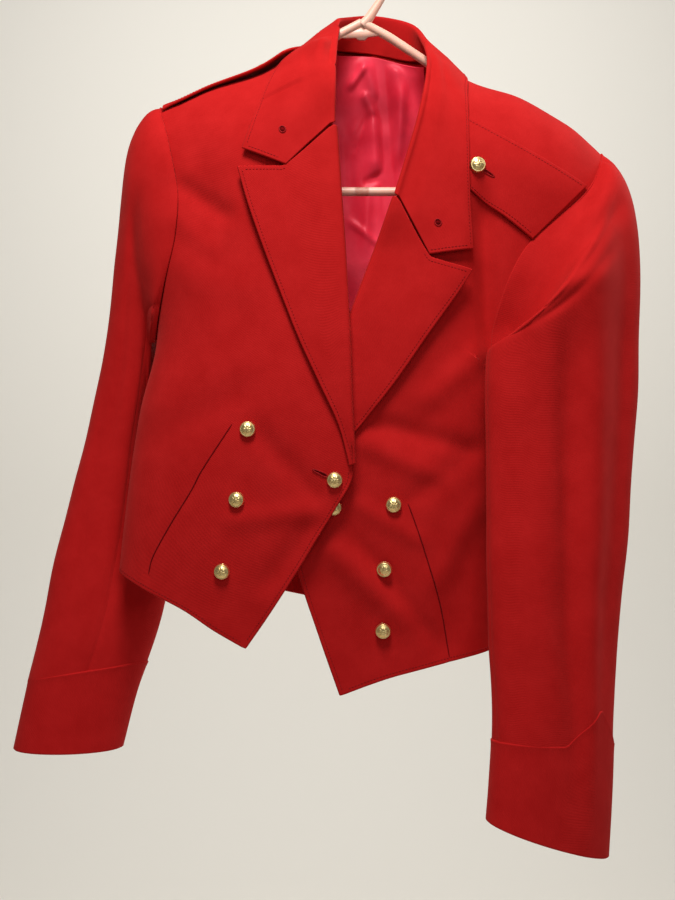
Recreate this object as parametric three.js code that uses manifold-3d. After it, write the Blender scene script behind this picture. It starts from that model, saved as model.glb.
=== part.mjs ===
// A scarlet mess jacket on a tubular hanger, in millimetres, +Z up, the front facing -Y.
// The origin is the inside top of the hanger's hook. Left and right are the wearer's.
import * as THREE from 'three';
import { mergeVertices } from 'three/addons/utils/BufferGeometryUtils.js';
import Module from 'manifold-3d';

const wasm = await Module();
wasm.setup();

// Driving dimensions
const CLOTH = 2.0; // wall of the wool and its interlining
const LINING = 1.2; // wall of the satin lining
const SEAM_GAP = 0.3; // between two pieces at a seam
const RIDGE_FRONT = 90; // height over which the front falls away from the shoulder ridge
const RIDGE_BACK = 60; // the same on the back
const SQUARENESS = 2.4; // exponent of the torso's section: 2 is an ellipse
const OVERLAP_STEP = 12; // the left front lies this far behind the right one
const LAPEL_LIFT = 4.2; // lapel's middle surface above the front's, at its free edge
const ROLL_RADIUS = 3.4; // bend of the lapel at its roll line
const COLLAR_LIFT = 7.2; // collar leaf's middle surface above the front's
const STRAP_LIFT = 3.4; // shoulder strap's middle surface above the shoulder's
const BUTTON_RADIUS = 7.4;
const BUTTON_HEIGHT = 5.2;
const TUBE_RADIUS = 4.3; // hanger tube

// Rows and columns of the cloth grids
const ARM_ROWS = 8; // armhole, from shoulder tip to underarm, in front
const BACK_ARM_ROWS = 5; // armhole, from shoulder tip to back seam
const SIDE_ROWS = 11; // from underarm to hem
const FRONT_COLUMNS = 11;
const SIDE_COLUMNS = 4;
const NECK_COLUMNS = 4;

const SCARLET = { color: 0xc4202a, roughness: 0.82, metalness: 0 };
const SCARLET_DEEP = { color: 0xb01c26, roughness: 0.85, metalness: 0 };
const SATIN = { color: 0xd8405c, roughness: 0.35, metalness: 0 };
const GILT = { color: 0xd9ad4f, roughness: 0.25, metalness: 1 };
const PLASTIC = { color: 0xe8938a, roughness: 0.35, metalness: 0 };

const clamp = (value, low, high) => Math.min(high, Math.max(low, value));
const mix = (a, b, t) => a + (b - a) * t;
const ease = (t) => {
  const s = clamp(t, 0, 1);
  return s * s * (3 - 2 * s);
};

// A smooth curve through a table's rows: the column named output as a function of the column input.
function curve(rows, input, output) {
  const at = rows.map((row) => row[input]);
  const value = rows.map((row) => row[output]);
  const last = rows.length - 1;
  const slope = value.map((_, i) => {
    const before = Math.max(i - 1, 0);
    const after = Math.min(i + 1, last);
    return (value[after] - value[before]) / (at[after] - at[before]);
  });
  return (position) => {
    const rising = at[last] > at[0];
    const x = clamp(position, Math.min(at[0], at[last]), Math.max(at[0], at[last]));
    let i = 0;
    while (i < last - 1 && (rising ? x > at[i + 1] : x < at[i + 1])) i += 1;
    const width = at[i + 1] - at[i];
    const t = (x - at[i]) / width;
    const t2 = t * t;
    const t3 = t2 * t;
    return (2 * t3 - 3 * t2 + 1) * value[i] + (t3 - 2 * t2 + t) * width * slope[i]
      + (3 * t2 - 2 * t3) * value[i + 1] + (t3 - t2) * width * slope[i + 1];
  };
}

// Torso: outline and depths by height. left and right are the viewer's, at the side silhouettes.
const LEVELS = [
  { z: -30, left: -228, right: 266, front: 44, back: 56 },
  { z: -100, left: -228, right: 266, front: 56, back: 61 },
  { z: -150, left: -223, right: 262, front: 65, back: 66 },
  { z: -226, left: -212, right: 246, front: 74, back: 70 },
  { z: -301, left: -205, right: 206, front: 79, back: 69 },
  { z: -371, left: -201, right: 170, front: 82, back: 66 },
  { z: -440, left: -217, right: 147, front: 82, back: 62 },
  { z: -550, left: -232, right: 131, front: 74, back: 56 },
  { z: -650, left: -243, right: 124, front: 62, back: 52 },
  { z: -720, left: -250, right: 120, front: 56, back: 50 },
];
const leftSide = curve(LEVELS, 'z', 'left');
const rightSide = curve(LEVELS, 'z', 'right');
const frontDepth = curve(LEVELS, 'z', 'front');
const backDepth = curve(LEVELS, 'z', 'back');

// Height of the shoulder ridge; between the neck points it is the crest that the back neck leans on.
const RIDGE = [
  { x: -240, z: -172 },
  { x: -215, z: -158 },
  { x: -198, z: -148 },
  { x: -177, z: -138.5 },
  { x: -151, z: -128 },
  { x: -103, z: -112 },
  { x: -75, z: -96 },
  { x: -52, z: -82 },
  { x: -30, z: -52 },
  { x: 7, z: -20 },
  { x: 45, z: -62 },
  { x: 66, z: -98 },
  { x: 94, z: -119.5 },
  { x: 145, z: -138 },
  { x: 190, z: -163 },
  { x: 215, z: -184 },
  { x: 225, z: -193 },
  { x: 250, z: -216 },
];
const ridgeHeight = curve(RIDGE, 'x', 'z');

// Soft troughs (height below 0) and ridges (above 0) along lines on the torso, x and z in front view.
const FOLDS = [
  { face: 'front', x1: -182, z1: -222, x2: -120, z2: -262, width: 12, height: -5 },
  { face: 'front', x1: -190, z1: -300, x2: -110, z2: -330, width: 20, height: 3 },
  { face: 'front', x1: -40, z1: -560, x2: 36, z2: -632, width: 14, height: 5 },
  { face: 'front', x1: 100, z1: -330, x2: 40, z2: -470, width: 22, height: -4 },
  { face: 'front', x1: -210, z1: -470, x2: -110, z2: -420, width: 18, height: -3 },
  { face: 'front', x1: 95, z1: -560, x2: 70, z2: -670, width: 18, height: -4 },
  { face: 'back', x1: -150, z1: -260, x2: -60, z2: -420, width: 24, height: -6 },
  { face: 'back', x1: 150, z1: -300, x2: 30, z2: -440, width: 24, height: -6 },
  { face: 'back', x1: -30, z1: -120, x2: -40, z2: -330, width: 26, height: 5 },
  { face: 'back', x1: -160, z1: -470, x2: -140, z2: -610, width: 20, height: -4 },
  { face: 'back', x1: 70, z1: -500, x2: 60, z2: -640, width: 22, height: -4 },
];

function foldHeight(face, x, z) {
  let sum = 0;
  for (const fold of FOLDS) {
    if (fold.face !== face) continue;
    const dx = fold.x2 - fold.x1;
    const dz = fold.z2 - fold.z1;
    const length = Math.hypot(dx, dz);
    const along = ((x - fold.x1) * dx + (z - fold.z1) * dz) / (length * length);
    const across = ((x - fold.x1) * dz - (z - fold.z1) * dx) / length;
    const end = ease((along + 0.25) / 0.4) * ease((1.25 - along) / 0.4);
    sum += fold.height * end * Math.exp(-((across / fold.width) ** 2));
  }
  return sum;
}

// How full the torso's section is at x: 1 in the middle, 0 at the side silhouette.
function sideFactor(x, z) {
  const left = leftSide(z);
  const right = rightSide(z);
  const p = Math.abs((x - (left + right) / 2) / ((right - left) / 2));
  return p >= 1 ? 0 : (1 - p ** SQUARENESS) ** (1 / SQUARENESS);
}

// How full it is below the shoulder ridge: 0 on the ridge, 1 from the given height downwards.
function ridgeFactor(x, z, height) {
  const q = clamp((ridgeHeight(x) - z) / height, 0, 1);
  return Math.sqrt(1 - (1 - q) ** 2);
}

// Middle surface of the front cloth: its y at a place in front view.
function frontY(x, z) {
  const full = sideFactor(x, z) * ridgeFactor(x, z, RIDGE_FRONT);
  return -full * (frontDepth(z) + foldHeight('front', x, z));
}

function backY(x, z) {
  const full = sideFactor(x, z) * ridgeFactor(x, z, RIDGE_BACK);
  return full * (backDepth(z) + foldHeight('back', x, z));
}

// The left front is behind the right one where they overlap.
const leftFrontY = (x, z) => frontY(x, z) + OVERLAP_STEP * ease((80 - x) / 80) * ease((-240 - z) / 60);

// Each body half: neck point, shoulder tip, underarm, hem end at the side, and the seams between them.
const EDGE_RIGHT = [
  { z: -82, x: -52 }, { z: -112, x: -50 }, { z: -142, x: -43 }, { z: -176, x: -33.4 },
  { z: -261, x: -27.4 }, { z: -348, x: -22.4 }, { z: -450, x: -18 }, { z: -489, x: -16 },
  { z: -502, x: -16 }, { z: -527, x: -30 }, { z: -548, x: -43 }, { z: -583, x: -64 },
  { z: -628, x: -93 }, { z: -657, x: -113 },
];
const EDGE_LEFT = [
  { z: -98, x: 66 }, { z: -132, x: 61 }, { z: -169, x: 52 }, { z: -243, x: 26.4 },
  { z: -336, x: -7 }, { z: -430, x: -42 }, { z: -489, x: -64 }, { z: -511, x: -71 },
  { z: -548, x: -71 }, { z: -592, x: -63 }, { z: -645, x: -46 }, { z: -703, x: -26 },
];
const ARM_FRONT_RIGHT = [
  { z: -148, x: -198 }, { z: -188, x: -186 }, { z: -235, x: -177 }, { z: -275, x: -178.5 },
  { z: -323, x: -190 }, { z: -371, x: -201 },
];
const ARM_BACK_RIGHT = [
  { z: -148, x: -198 }, { z: -188, x: -190 }, { z: -235, x: -184 }, { z: -290, x: -184 },
  { z: -330, x: -190 }, { z: -371, x: -201 },
];
const ARM_FRONT_LEFT = [
  { z: -193, x: 225 }, { z: -235, x: 202 }, { z: -283, x: 149 }, { z: -312, x: 131 },
  { z: -345, x: 121 }, { z: -378, x: 114 }, { z: -402, x: 115 }, { z: -417, x: 124 }, { z: -425, x: 152 },
];
const ARM_BACK_LEFT = [
  { z: -193, x: 225 }, { z: -235, x: 208 }, { z: -290, x: 190 }, { z: -340, x: 172 },
  { z: -390, x: 158 }, { z: -425, x: 152 },
];
const BACK_SEAM_RIGHT = [
  { z: -290, x: -184 }, { z: -330, x: -166 }, { z: -380, x: -148 }, { z: -450, x: -135 },
  { z: -550, x: -130 }, { z: -607, x: -128 },
];
const BACK_SEAM_LEFT = [
  { z: -340, x: 172 }, { z: -375, x: 132 }, { z: -410, x: 102 }, { z: -460, x: 72 },
  { z: -550, x: 34 }, { z: -637, x: 12 },
];
const HEM_FRONT = [
  { x: -237, z: -590 }, { x: -205, z: -606 }, { x: -170, z: -623 }, { x: -142, z: -641 },
  { x: -114, z: -657 },
];
const HEM_FRONT_LEFT = [
  { x: -25, z: -703 }, { x: 2, z: -693 }, { x: 29, z: -684 }, { x: 76, z: -672 },
  { x: 124, z: -662 },
];
const HEM_BACK = [
  { x: -237, z: -590 }, { x: -128, z: -607 }, { x: -59, z: -620 }, { x: 12, z: -637 },
  { x: 124, z: -662 },
];
const NECK_BACK = [
  { x: -52, z: -82 }, { x: -30, z: -78.5 }, { x: 7, z: -78 }, { x: 45, z: -89 }, { x: 66, z: -98 },
];
const CENTRE_HEM = -619;
const CENTRE_BACK = [{ z: -78, x: 7 }, { z: -350, x: -28 }, { z: CENTRE_HEM, x: -59 }];

const hemBack = curve(HEM_BACK, 'x', 'z');
const neckBack = curve(NECK_BACK, 'x', 'z');
const centreBack = curve(CENTRE_BACK, 'z', 'x');
const backTop = (x) => (x > -52 && x < 66 ? neckBack(x) : ridgeHeight(x));

const BODY = {
  right: {
    neckX: -52, neckZ: -82, tipX: -198, tipZ: -148, armZ: -371, armX: -201, innerArmZ: -300,
    edgeEndZ: -657, sideHemZ: -590, seamTopZ: -290, seamHemZ: -607, side: leftSide,
    edge: curve(EDGE_RIGHT, 'z', 'x'), armFront: curve(ARM_FRONT_RIGHT, 'z', 'x'),
    armBack: curve(ARM_BACK_RIGHT, 'z', 'x'), seam: curve(BACK_SEAM_RIGHT, 'z', 'x'),
    hem: curve(HEM_FRONT, 'x', 'z'), faceY: frontY,
  },
  left: {
    neckX: 66, neckZ: -98, tipX: 225, tipZ: -193, armZ: -425, armX: 152, innerArmZ: -370,
    edgeEndZ: -703, sideHemZ: -662, seamTopZ: -340, seamHemZ: -637, side: rightSide,
    edge: curve(EDGE_LEFT, 'z', 'x'), armFront: curve(ARM_FRONT_LEFT, 'z', 'x'),
    armBack: curve(ARM_BACK_LEFT, 'z', 'x'), seam: curve(BACK_SEAM_LEFT, 'z', 'x'),
    hem: curve(HEM_FRONT_LEFT, 'x', 'z'), faceY: leftFrontY,
  },
};

const vector = (x, y, z) => new THREE.Vector3(x, y, z);
const sheets = [];

// A sheet is a grid of points on the cloth's middle surface. Walls are made from all sheets together,
// so that two sheets which share an edge are mitred there.
function addSheet(name, grid, finish, options = {}) {
  sheets.push({ name, grid, finish, thickness: CLOTH, ...options });
}

// A patch in front view between four boundary curves, by rows and columns (a Coons patch).
function coons(rows, columns, inner, outer, top, bottom) {
  const grid = [];
  const corner = { i0: inner(0), o0: outer(0), i1: inner(rows.length - 1), o1: outer(rows.length - 1) };
  rows.forEach((down, j) => {
    const a = inner(j);
    const b = outer(j);
    grid.push(columns.map((u, i) => {
      const t = top(i);
      const e = bottom(i);
      const point = {};
      for (const axis of ['x', 'z']) {
        const ruled = mix(a[axis], b[axis], u);
        const topBow = t[axis] - mix(corner.i0[axis], corner.o0[axis], u);
        const endBow = e[axis] - mix(corner.i1[axis], corner.o1[axis], u);
        point[axis] = ruled + (1 - down) * topBow + down * endBow;
      }
      return point;
    }));
  });
  return grid;
}

const even = (count) => Array.from({ length: count + 1 }, (_, i) => i / count);
const cosineSteps = (count) => even(count).map((f) => (1 - Math.cos(Math.PI * f)) / 2);
const easedIn = (count) => even(count).map((f) => 1 - Math.cos(Math.PI * f / 2));
const easedOut = (count) => even(count).map((f) => Math.sin(Math.PI * f / 2));

// Heights of a front's rows at the armhole and side, and at its inner edge.
function frontRows(half) {
  const outer = cosineSteps(ARM_ROWS).map((f) => mix(half.tipZ, half.armZ, f));
  const inner = easedIn(ARM_ROWS).map((f) => mix(half.neckZ, half.innerArmZ, f));
  even(SIDE_ROWS).slice(1).forEach((f) => {
    outer.push(mix(half.armZ, half.sideHemZ, f));
    inner.push(mix(half.innerArmZ, half.edgeEndZ, f));
  });
  return { outer, inner };
}

const frontColumns = () => easedOut(FRONT_COLUMNS).map((s, i) => mix(s, i / FRONT_COLUMNS, 0.12));

function frontGrid(half) {
  const rows = frontRows(half);
  const columns = frontColumns();
  const inner = (j) => ({ x: half.edge(rows.inner[j]), z: rows.inner[j] });
  const outer = (j) => {
    const z = rows.outer[j];
    return { x: j <= ARM_ROWS ? half.armFront(z) : half.side(z), z };
  };
  const top = (i) => {
    const x = mix(half.neckX, half.tipX, columns[i]);
    return { x, z: ridgeHeight(x) };
  };
  const endRow = rows.outer.length - 1;
  const bottom = (i) => {
    const x = mix(inner(endRow).x, outer(endRow).x, columns[i]);
    return { x, z: half.hem(x) };
  };
  const fractions = rows.outer.map((_, j) => j / endRow);
  return coons(fractions, columns, inner, outer, top, bottom)
    .map((row) => row.map(({ x, z }) => vector(x, half.faceY(x, z), z)));
}

const seamTurn = (half) => Math.acos(1 - 2 * (half.seamTopZ - half.tipZ) / (half.armZ - half.tipZ));
const armHeight = (half, turn) => mix(half.tipZ, half.armZ, (1 - Math.cos(turn)) / 2);

function backGrid(half) {
  const turn = seamTurn(half);
  const armRows = even(BACK_ARM_ROWS).map((f) => armHeight(half, f * turn));
  const sideRows = even(SIDE_ROWS).slice(1).map((f) => mix(half.seamTopZ, half.seamHemZ, f));
  const outerZ = [...armRows, ...sideRows];
  const last = outerZ.length - 1;
  const centreTop = neckBack(7);
  const centreZ = outerZ.map((_, j) => {
    const yoke = mix(centreTop, CENTRE_HEM, 0.36);
    const arm = mix(centreTop, yoke, 1 - Math.cos(Math.min(j / BACK_ARM_ROWS, 1) * Math.PI / 2));
    const below = mix(yoke, CENTRE_HEM, (j - BACK_ARM_ROWS) / SIDE_ROWS);
    return j <= BACK_ARM_ROWS ? arm : below;
  });
  const width = half.tipX - 7;
  const neckShare = (half.neckX - 7) / width;
  const neckColumns = easedOut(NECK_COLUMNS).map((f) => f * neckShare);
  const ridgeColumns = frontColumns().slice(1).map((f) => mix(neckShare, 1, f));
  const columns = [...neckColumns, ...ridgeColumns];
  const inner = (j) => ({ x: centreBack(centreZ[j]), z: centreZ[j] });
  const outer = (j) => {
    const z = outerZ[j];
    return { x: j <= BACK_ARM_ROWS ? half.armBack(z) : half.seam(z), z };
  };
  const top = (i) => {
    const x = 7 + columns[i] * width;
    return { x, z: backTop(x) };
  };
  const bottom = (i) => {
    const x = mix(inner(last).x, outer(last).x, columns[i]);
    return { x, z: hemBack(x) };
  };
  return coons(outerZ.map((_, j) => j / last), columns, inner, outer, top, bottom)
    .map((row) => row.map(({ x, z }) => vector(x, backY(x, z), z)));
}

function sideGrid(half) {
  const turn = seamTurn(half);
  const columns = even(SIDE_COLUMNS).map((f) => Math.sin(f * Math.PI / 2));
  const turns = even(SIDE_COLUMNS).map((f) => mix(turn, Math.PI, f));
  const inner = (j) => {
    const z = mix(half.seamTopZ, half.seamHemZ, j / SIDE_ROWS);
    return { x: half.seam(z), z };
  };
  const outer = (j) => {
    const z = mix(half.armZ, half.sideHemZ, j / SIDE_ROWS);
    return { x: j === 0 ? half.armX : half.side(z), z };
  };
  const top = (i) => {
    const z = armHeight(half, turns[i]);
    return { x: half.armBack(z), z };
  };
  const bottom = (i) => {
    const x = mix(inner(SIDE_ROWS).x, outer(SIDE_ROWS).x, columns[i]);
    return { x, z: hemBack(x) };
  };
  return coons(even(SIDE_ROWS), columns, inner, outer, top, bottom)
    .map((row) => row.map(({ x, z }) => vector(x, backY(x, z), z)));
}

// Sleeves: the outer and inner lines of each sleeve by section, with its depth in front and behind.
const SLEEVE_RIGHT = [
  { ox: -198, oy: 0, oz: -148, ix: -201, iy: 0, iz: -371, front: 50, back: 54 },
  { ox: -213, oy: 3, oz: -153, ix: -202, iy: 12, iz: -376, front: 48, back: 58 },
  { ox: -229, oy: 5, oz: -184, ix: -201, iy: 26, iz: -386, front: 46, back: 60 },
  { ox: -237, oy: 8, oz: -232, ix: -200, iy: 40, iz: -404, front: 42, back: 56 },
  { ox: -243, oy: 10, oz: -290, ix: -199, iy: 50, iz: -434, front: 36, back: 50 },
  { ox: -252, oy: 12, oz: -367, ix: -199, iy: 58, iz: -468, front: 30, back: 46 },
  { ox: -264, oy: 14, oz: -430, ix: -198, iy: 62, iz: -500, front: 26, back: 42 },
  { ox: -282, oy: 16, oz: -505, ix: -198, iy: 66, iz: -545, front: 26, back: 40 },
  { ox: -303, oy: 18, oz: -584, ix: -200, iy: 66, iz: -600, front: 30, back: 38 },
  { ox: -321, oy: 22, oz: -660, ix: -211, iy: 62, iz: -658, front: 34, back: 36 },
  { ox: -335.5, oy: 26, oz: -720, ix: -230, iy: 56, iz: -714, front: 34, back: 34 },
  { ox: -347, oy: 30, oz: -769, ix: -244, iy: 52, iz: -770, front: 34, back: 34 },
];
const SLEEVE_LEFT = [
  { ox: 225, oy: 0, oz: -193, ix: 152, iy: 0, iz: -425, front: 60, back: 50 },
  { ox: 236, oy: -6, oz: -207, ix: 142, iy: -34, iz: -427, front: 66, back: 54 },
  { ox: 249, oy: -12, oz: -243, ix: 124, iy: -58, iz: -428, front: 62, back: 52 },
  { ox: 254, oy: -16, oz: -300, ix: 113, iy: -70, iz: -430, front: 54, back: 44 },
  { ox: 253.5, oy: -18, oz: -360, ix: 108, iy: -76, iz: -440, front: 46, back: 34 },
  { ox: 250.5, oy: -20, oz: -430, ix: 107.5, iy: -78, iz: -470, front: 42, back: 28 },
  { ox: 246, oy: -22, oz: -503, ix: 108, iy: -80, iz: -520, front: 40, back: 28 },
  { ox: 239.5, oy: -24, oz: -580, ix: 109, iy: -82, iz: -585, front: 38, back: 30 },
  { ox: 232, oy: -26, oz: -645, ix: 111, iy: -82, iz: -650, front: 36, back: 32 },
  { ox: 228.5, oy: -28, oz: -710, ix: 115, iy: -82, iz: -715, front: 34, back: 34 },
  { ox: 226.5, oy: -30, oz: -780, ix: 112, iy: -80, iz: -778, front: 34, back: 34 },
  { ox: 223, oy: -32, oz: -853, ix: 109, iy: -78, iz: -812, front: 34, back: 34 },
];
const SLEEVE_TWIST = { right: 0.9, left: 0 }; // turn of the seams about the arm, from shoulder to cuff
const SLEEVE_ROWS = 20;
const CUFF_ROWS = 4;

// Troughs and ridges on a sleeve: at a share of its length and an angle from the outer line.
const SLEEVE_FOLDS = {
  right: [
    { at: 0.22, turn: 1.3, long: 0.10, wide: 0.35, height: -6 },
    { at: 0.44, turn: 1.9, long: 0.20, wide: 0.30, height: -7 },
    { at: 0.58, turn: 1.2, long: 0.16, wide: 0.28, height: 4 },
    { at: 0.50, turn: 4.6, long: 0.12, wide: 0.5, height: -7 },
    { at: 0.34, turn: 5.3, long: 0.10, wide: 0.4, height: 5 },
  ],
  left: [
    { at: 0.17, turn: 1.75, long: 0.06, wide: 0.8, height: -13 },
    { at: 0.30, turn: 1.2, long: 0.10, wide: 0.4, height: 5 },
    { at: 0.55, turn: 1.75, long: 0.26, wide: 0.22, height: -7 },
    { at: 0.62, turn: 1.1, long: 0.20, wide: 0.22, height: 5 },
    { at: 0.46, turn: 4.7, long: 0.12, wide: 0.5, height: -7 },
  ],
};

const SLEEVE_TABLES = { right: SLEEVE_RIGHT, left: SLEEVE_LEFT };
const sleeveCurves = {};
for (const side of ['right', 'left']) {
  const rows = SLEEVE_TABLES[side].map((row, i, all) => ({ ...row, share: i / (all.length - 1) }));
  sleeveCurves[side] = {};
  for (const column of ['ox', 'oy', 'oz', 'ix', 'iy', 'iz', 'front', 'back']) {
    sleeveCurves[side][column] = curve(rows, 'share', column);
  }
}

function sleeveLine(side, share, line) {
  const c = sleeveCurves[side];
  return vector(c[`${line}x`](share), c[`${line}y`](share), c[`${line}z`](share));
}

// A point of a sleeve's middle surface: its section spans from the outer to the inner line, with its
// own depth in front and behind.
function sleevePoint(side, share, turn) {
  const outer = sleeveLine(side, share, 'o');
  const inner = sleeveLine(side, share, 'i');
  const middle = outer.clone().add(inner).multiplyScalar(0.5);
  const half = outer.clone().sub(inner).multiplyScalar(0.5);
  const along = half.clone().normalize();
  const forward = vector(0, -1, 0).addScaledVector(along, along.y).normalize();
  const c = sleeveCurves[side];
  let depth = turn < Math.PI ? c.front(share) : c.back(share);
  for (const fold of SLEEVE_FOLDS[side]) {
    const away = Math.hypot((share - fold.at) / fold.long, (turn - fold.turn) / fold.wide);
    depth += fold.height * Math.exp(-away * away);
  }
  return middle.addScaledVector(half, Math.cos(turn)).addScaledVector(forward, depth * Math.sin(turn));
}

// Moves a point of a sleeve out of the body's cloth. The wall that is turned away from the body also
// stays clear of the wall that lies against it.
const SLEEVE_CLEAR = 4.2; // between the middle surfaces, in depth
const SLEEVE_ASIDE = 6; // the same sideways, round the body's silhouette
const SLEEVE_HOLLOW = 12; // between a flattened sleeve's two walls
function clearOfBody(side, point, turn) {
  const half = BODY[side];
  const { z } = point;
  const facing = side === 'right' ? 2 * Math.PI - turn : turn;
  const away = facing < Math.PI ? SLEEVE_HOLLOW * Math.sin(facing) : 0;
  const hem = ease((z - (half.sideHemZ - 40)) / 30);
  const low = ease((mix(half.tipZ, half.armZ, 0.7) - z) / 40);
  besideBody(point, away, low * hem);
  const behind = point.y > 0;
  const surface = behind ? backY(point.x, z) : -half.faceY(point.x, z);
  const armX = behind ? half.armBack(z) : half.armFront(z);
  const inside = (point.x - (z < half.armZ ? half.side(z) : armX)) * (side === 'right' ? 1 : -1);
  const deep = ease((Math.abs(point.y) / surface - 0.4) / 0.2);
  const wanted = (surface + SLEEVE_CLEAR + away * low) * ease(inside / 3) * mix(1, deep, low);
  const push = Math.max(wanted - Math.abs(point.y), 0) * hem;
  point.y += behind ? push : -push;
  return point;
}

// Scales a point out of the torso's section about the section's middle, by a share of the full way.
function besideBody(point, away, share) {
  const { x, y, z } = point;
  const middle = (leftSide(z) + rightSide(z)) / 2;
  const across = (rightSide(z) - leftSide(z)) / 2 + SLEEVE_ASIDE + away;
  const depth = (y > 0 ? backDepth(z) : frontDepth(z)) + SLEEVE_CLEAR + away;
  const size = (Math.abs((x - middle) / across) ** SQUARENESS + Math.abs(y / depth) ** SQUARENESS)
    ** (1 / SQUARENESS);
  if (size >= 1 || share <= 0) return;
  const scale = mix(1, 1 / size, share);
  point.x = middle + (x - middle) * scale;
  point.y = y * scale;
}

// The direction out of the body's cloth at a place in front view.
function outward(faceY, x, z) {
  const step = 1.5;
  const slopeX = (faceY(x + step, z) - faceY(x - step, z)) / (2 * step);
  const slopeZ = (faceY(x, z + step) - faceY(x, z - step)) / (2 * step);
  const away = Math.sign(faceY(x, z)) || 1;
  return vector(-slopeX * away, away, -slopeZ * away).normalize();
}

// The closed loop where a sleeve starts: down the front of the armhole from the shoulder tip, up its
// back, lapped over the body's cloth.
const LAP = CLOTH + 0.6;
function armLoop(half) {
  const loop = [];
  const add = (turn, x, z, faceY, top) => {
    const normal = top ?? outward(faceY, x, z);
    loop.push({ turn, point: vector(x, faceY(x, z), z).addScaledVector(normal, LAP) });
  };
  const outX = Math.sign(half.tipX);
  for (let j = 0; j <= ARM_ROWS; j += 1) {
    const turn = Math.PI * j / ARM_ROWS;
    const z = armHeight(half, turn);
    const x = j === ARM_ROWS ? half.armX : half.armFront(z);
    const ends = { 0: vector(0.5 * outX, 0, 1).normalize(), [ARM_ROWS]: vector(outX, 0, 0) };
    add(turn, x, z, half.faceY, ends[j]);
  }
  const backTurn = seamTurn(half);
  for (let i = SIDE_COLUMNS - 1; i >= 0; i -= 1) {
    const turn = mix(backTurn, Math.PI, i / SIDE_COLUMNS);
    const z = armHeight(half, turn);
    add(2 * Math.PI - turn, half.armBack(z), z, backY);
  }
  for (let j = BACK_ARM_ROWS - 1; j >= 1; j -= 1) {
    const turn = backTurn * j / BACK_ARM_ROWS;
    const z = armHeight(half, turn);
    add(2 * Math.PI - turn, half.armBack(z), z, backY);
  }
  return loop;
}

// The cuff's upper edge by angle: straight round the arm, with a point on its outer side.
const CUFF = {
  right: { share: 0.872, point: 0.0, turn: 4.7 },
  left: { share: 0.875, point: 0.045, turn: 0.95 },
};
function cuffEdge(side, turn) {
  const cuff = CUFF[side];
  const away = Math.abs(((turn - cuff.turn + 3 * Math.PI) % (2 * Math.PI)) - Math.PI);
  return cuff.share - cuff.point * Math.max(0, 1 - away / 0.9) + 0.006 * Math.cos(turn);
}

function sleeveGrid(side, loop) {
  const grid = [];
  for (let k = 0; k <= SLEEVE_ROWS; k += 1) {
    grid.push(loop.map(({ turn, point }) => {
      if (k === 0) return point.clone();
      const share = cuffEdge(side, turn) * k / SLEEVE_ROWS;
      const free = [0, 0.6, 0.9][k] ?? 1;
      const turned = turn - SLEEVE_TWIST[side] * ease(share / 0.6);
      return clearOfBody(side, point.clone().lerp(sleevePoint(side, share, turned), free), turned);
    }));
  }
  return grid;
}

function cuffGrid(side, loop) {
  const grid = [];
  for (let k = 0; k <= CUFF_ROWS; k += 1) {
    const ring = loop.map(({ turn }) => {
      const share = mix(cuffEdge(side, turn), 1, k / CUFF_ROWS);
      return sleevePoint(side, share, turn - SLEEVE_TWIST[side]);
    });
    ring.push(ring[0].clone());
    grid.push(ring);
  }
  return grid;
}

// Where the top sleeve ends and the under sleeve begins, as places on the loop.
const SLEEVE_SEAMS = { right: { front: 6, back: 14 }, left: { front: 8, back: 1 } };

function columnsBetween(grid, from, to) {
  const count = grid[0].length;
  const span = ((to - from + count) % count) || count;
  return grid.map((row) => Array.from({ length: span + 1 }, (_, i) => row[(from + i) % count].clone()));
}

// Lapels: the roll line and the free edge by height, and the upper edge with its notch.
const LAPELS = {
  right: {
    sign: -1, faceY: frontY,
    roll: curve([
      { z: -176, x: -30 }, { z: -261, x: -24 }, { z: -348, x: -19 }, { z: -450, x: -14.6 },
      { z: -487, x: -13 },
    ], 'z', 'x'),
    edge: curve([
      { z: -219, x: -117 }, { z: -253, x: -108 }, { z: -294, x: -94 }, { z: -341, x: -76 },
      { z: -376, x: -62 }, { z: -415, x: -44 }, { z: -452, x: -27 }, { z: -487, x: -17.5 },
    ], 'z', 'x'),
    top: curve([
      { u: 0, z: -180 }, { u: 0.5, z: -218 }, { u: 0.62, z: -219 }, { u: 1, z: -220 },
    ], 'u', 'z'),
    rollTop: -180, rollEnd: -487, edgeTop: -220,
  },
  left: {
    sign: 1, faceY: leftFrontY,
    roll: curve([
      { z: -243, x: 23 }, { z: -336, x: -10.5 }, { z: -430, x: -45.5 }, { z: -489, x: -67.5 },
    ], 'z', 'x'),
    edge: curve([
      { z: -312, x: 93 }, { z: -334, x: 79 }, { z: -366, x: 56 }, { z: -412, x: 24 },
      { z: -441, x: 1 }, { z: -459, x: -14 }, { z: -478, x: -36 }, { z: -492, x: -61 },
    ], 'z', 'x'),
    top: curve([
      { u: 0, z: -246 }, { u: 0.42, z: -298 }, { u: 0.55, z: -303 }, { u: 1, z: -312 },
    ], 'u', 'z'),
    rollTop: -246, rollEnd: -489, edgeTop: -312,
  },
};
const LAPEL_ROWS = 13;
const LAPEL_COLUMNS = 5;

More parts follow.
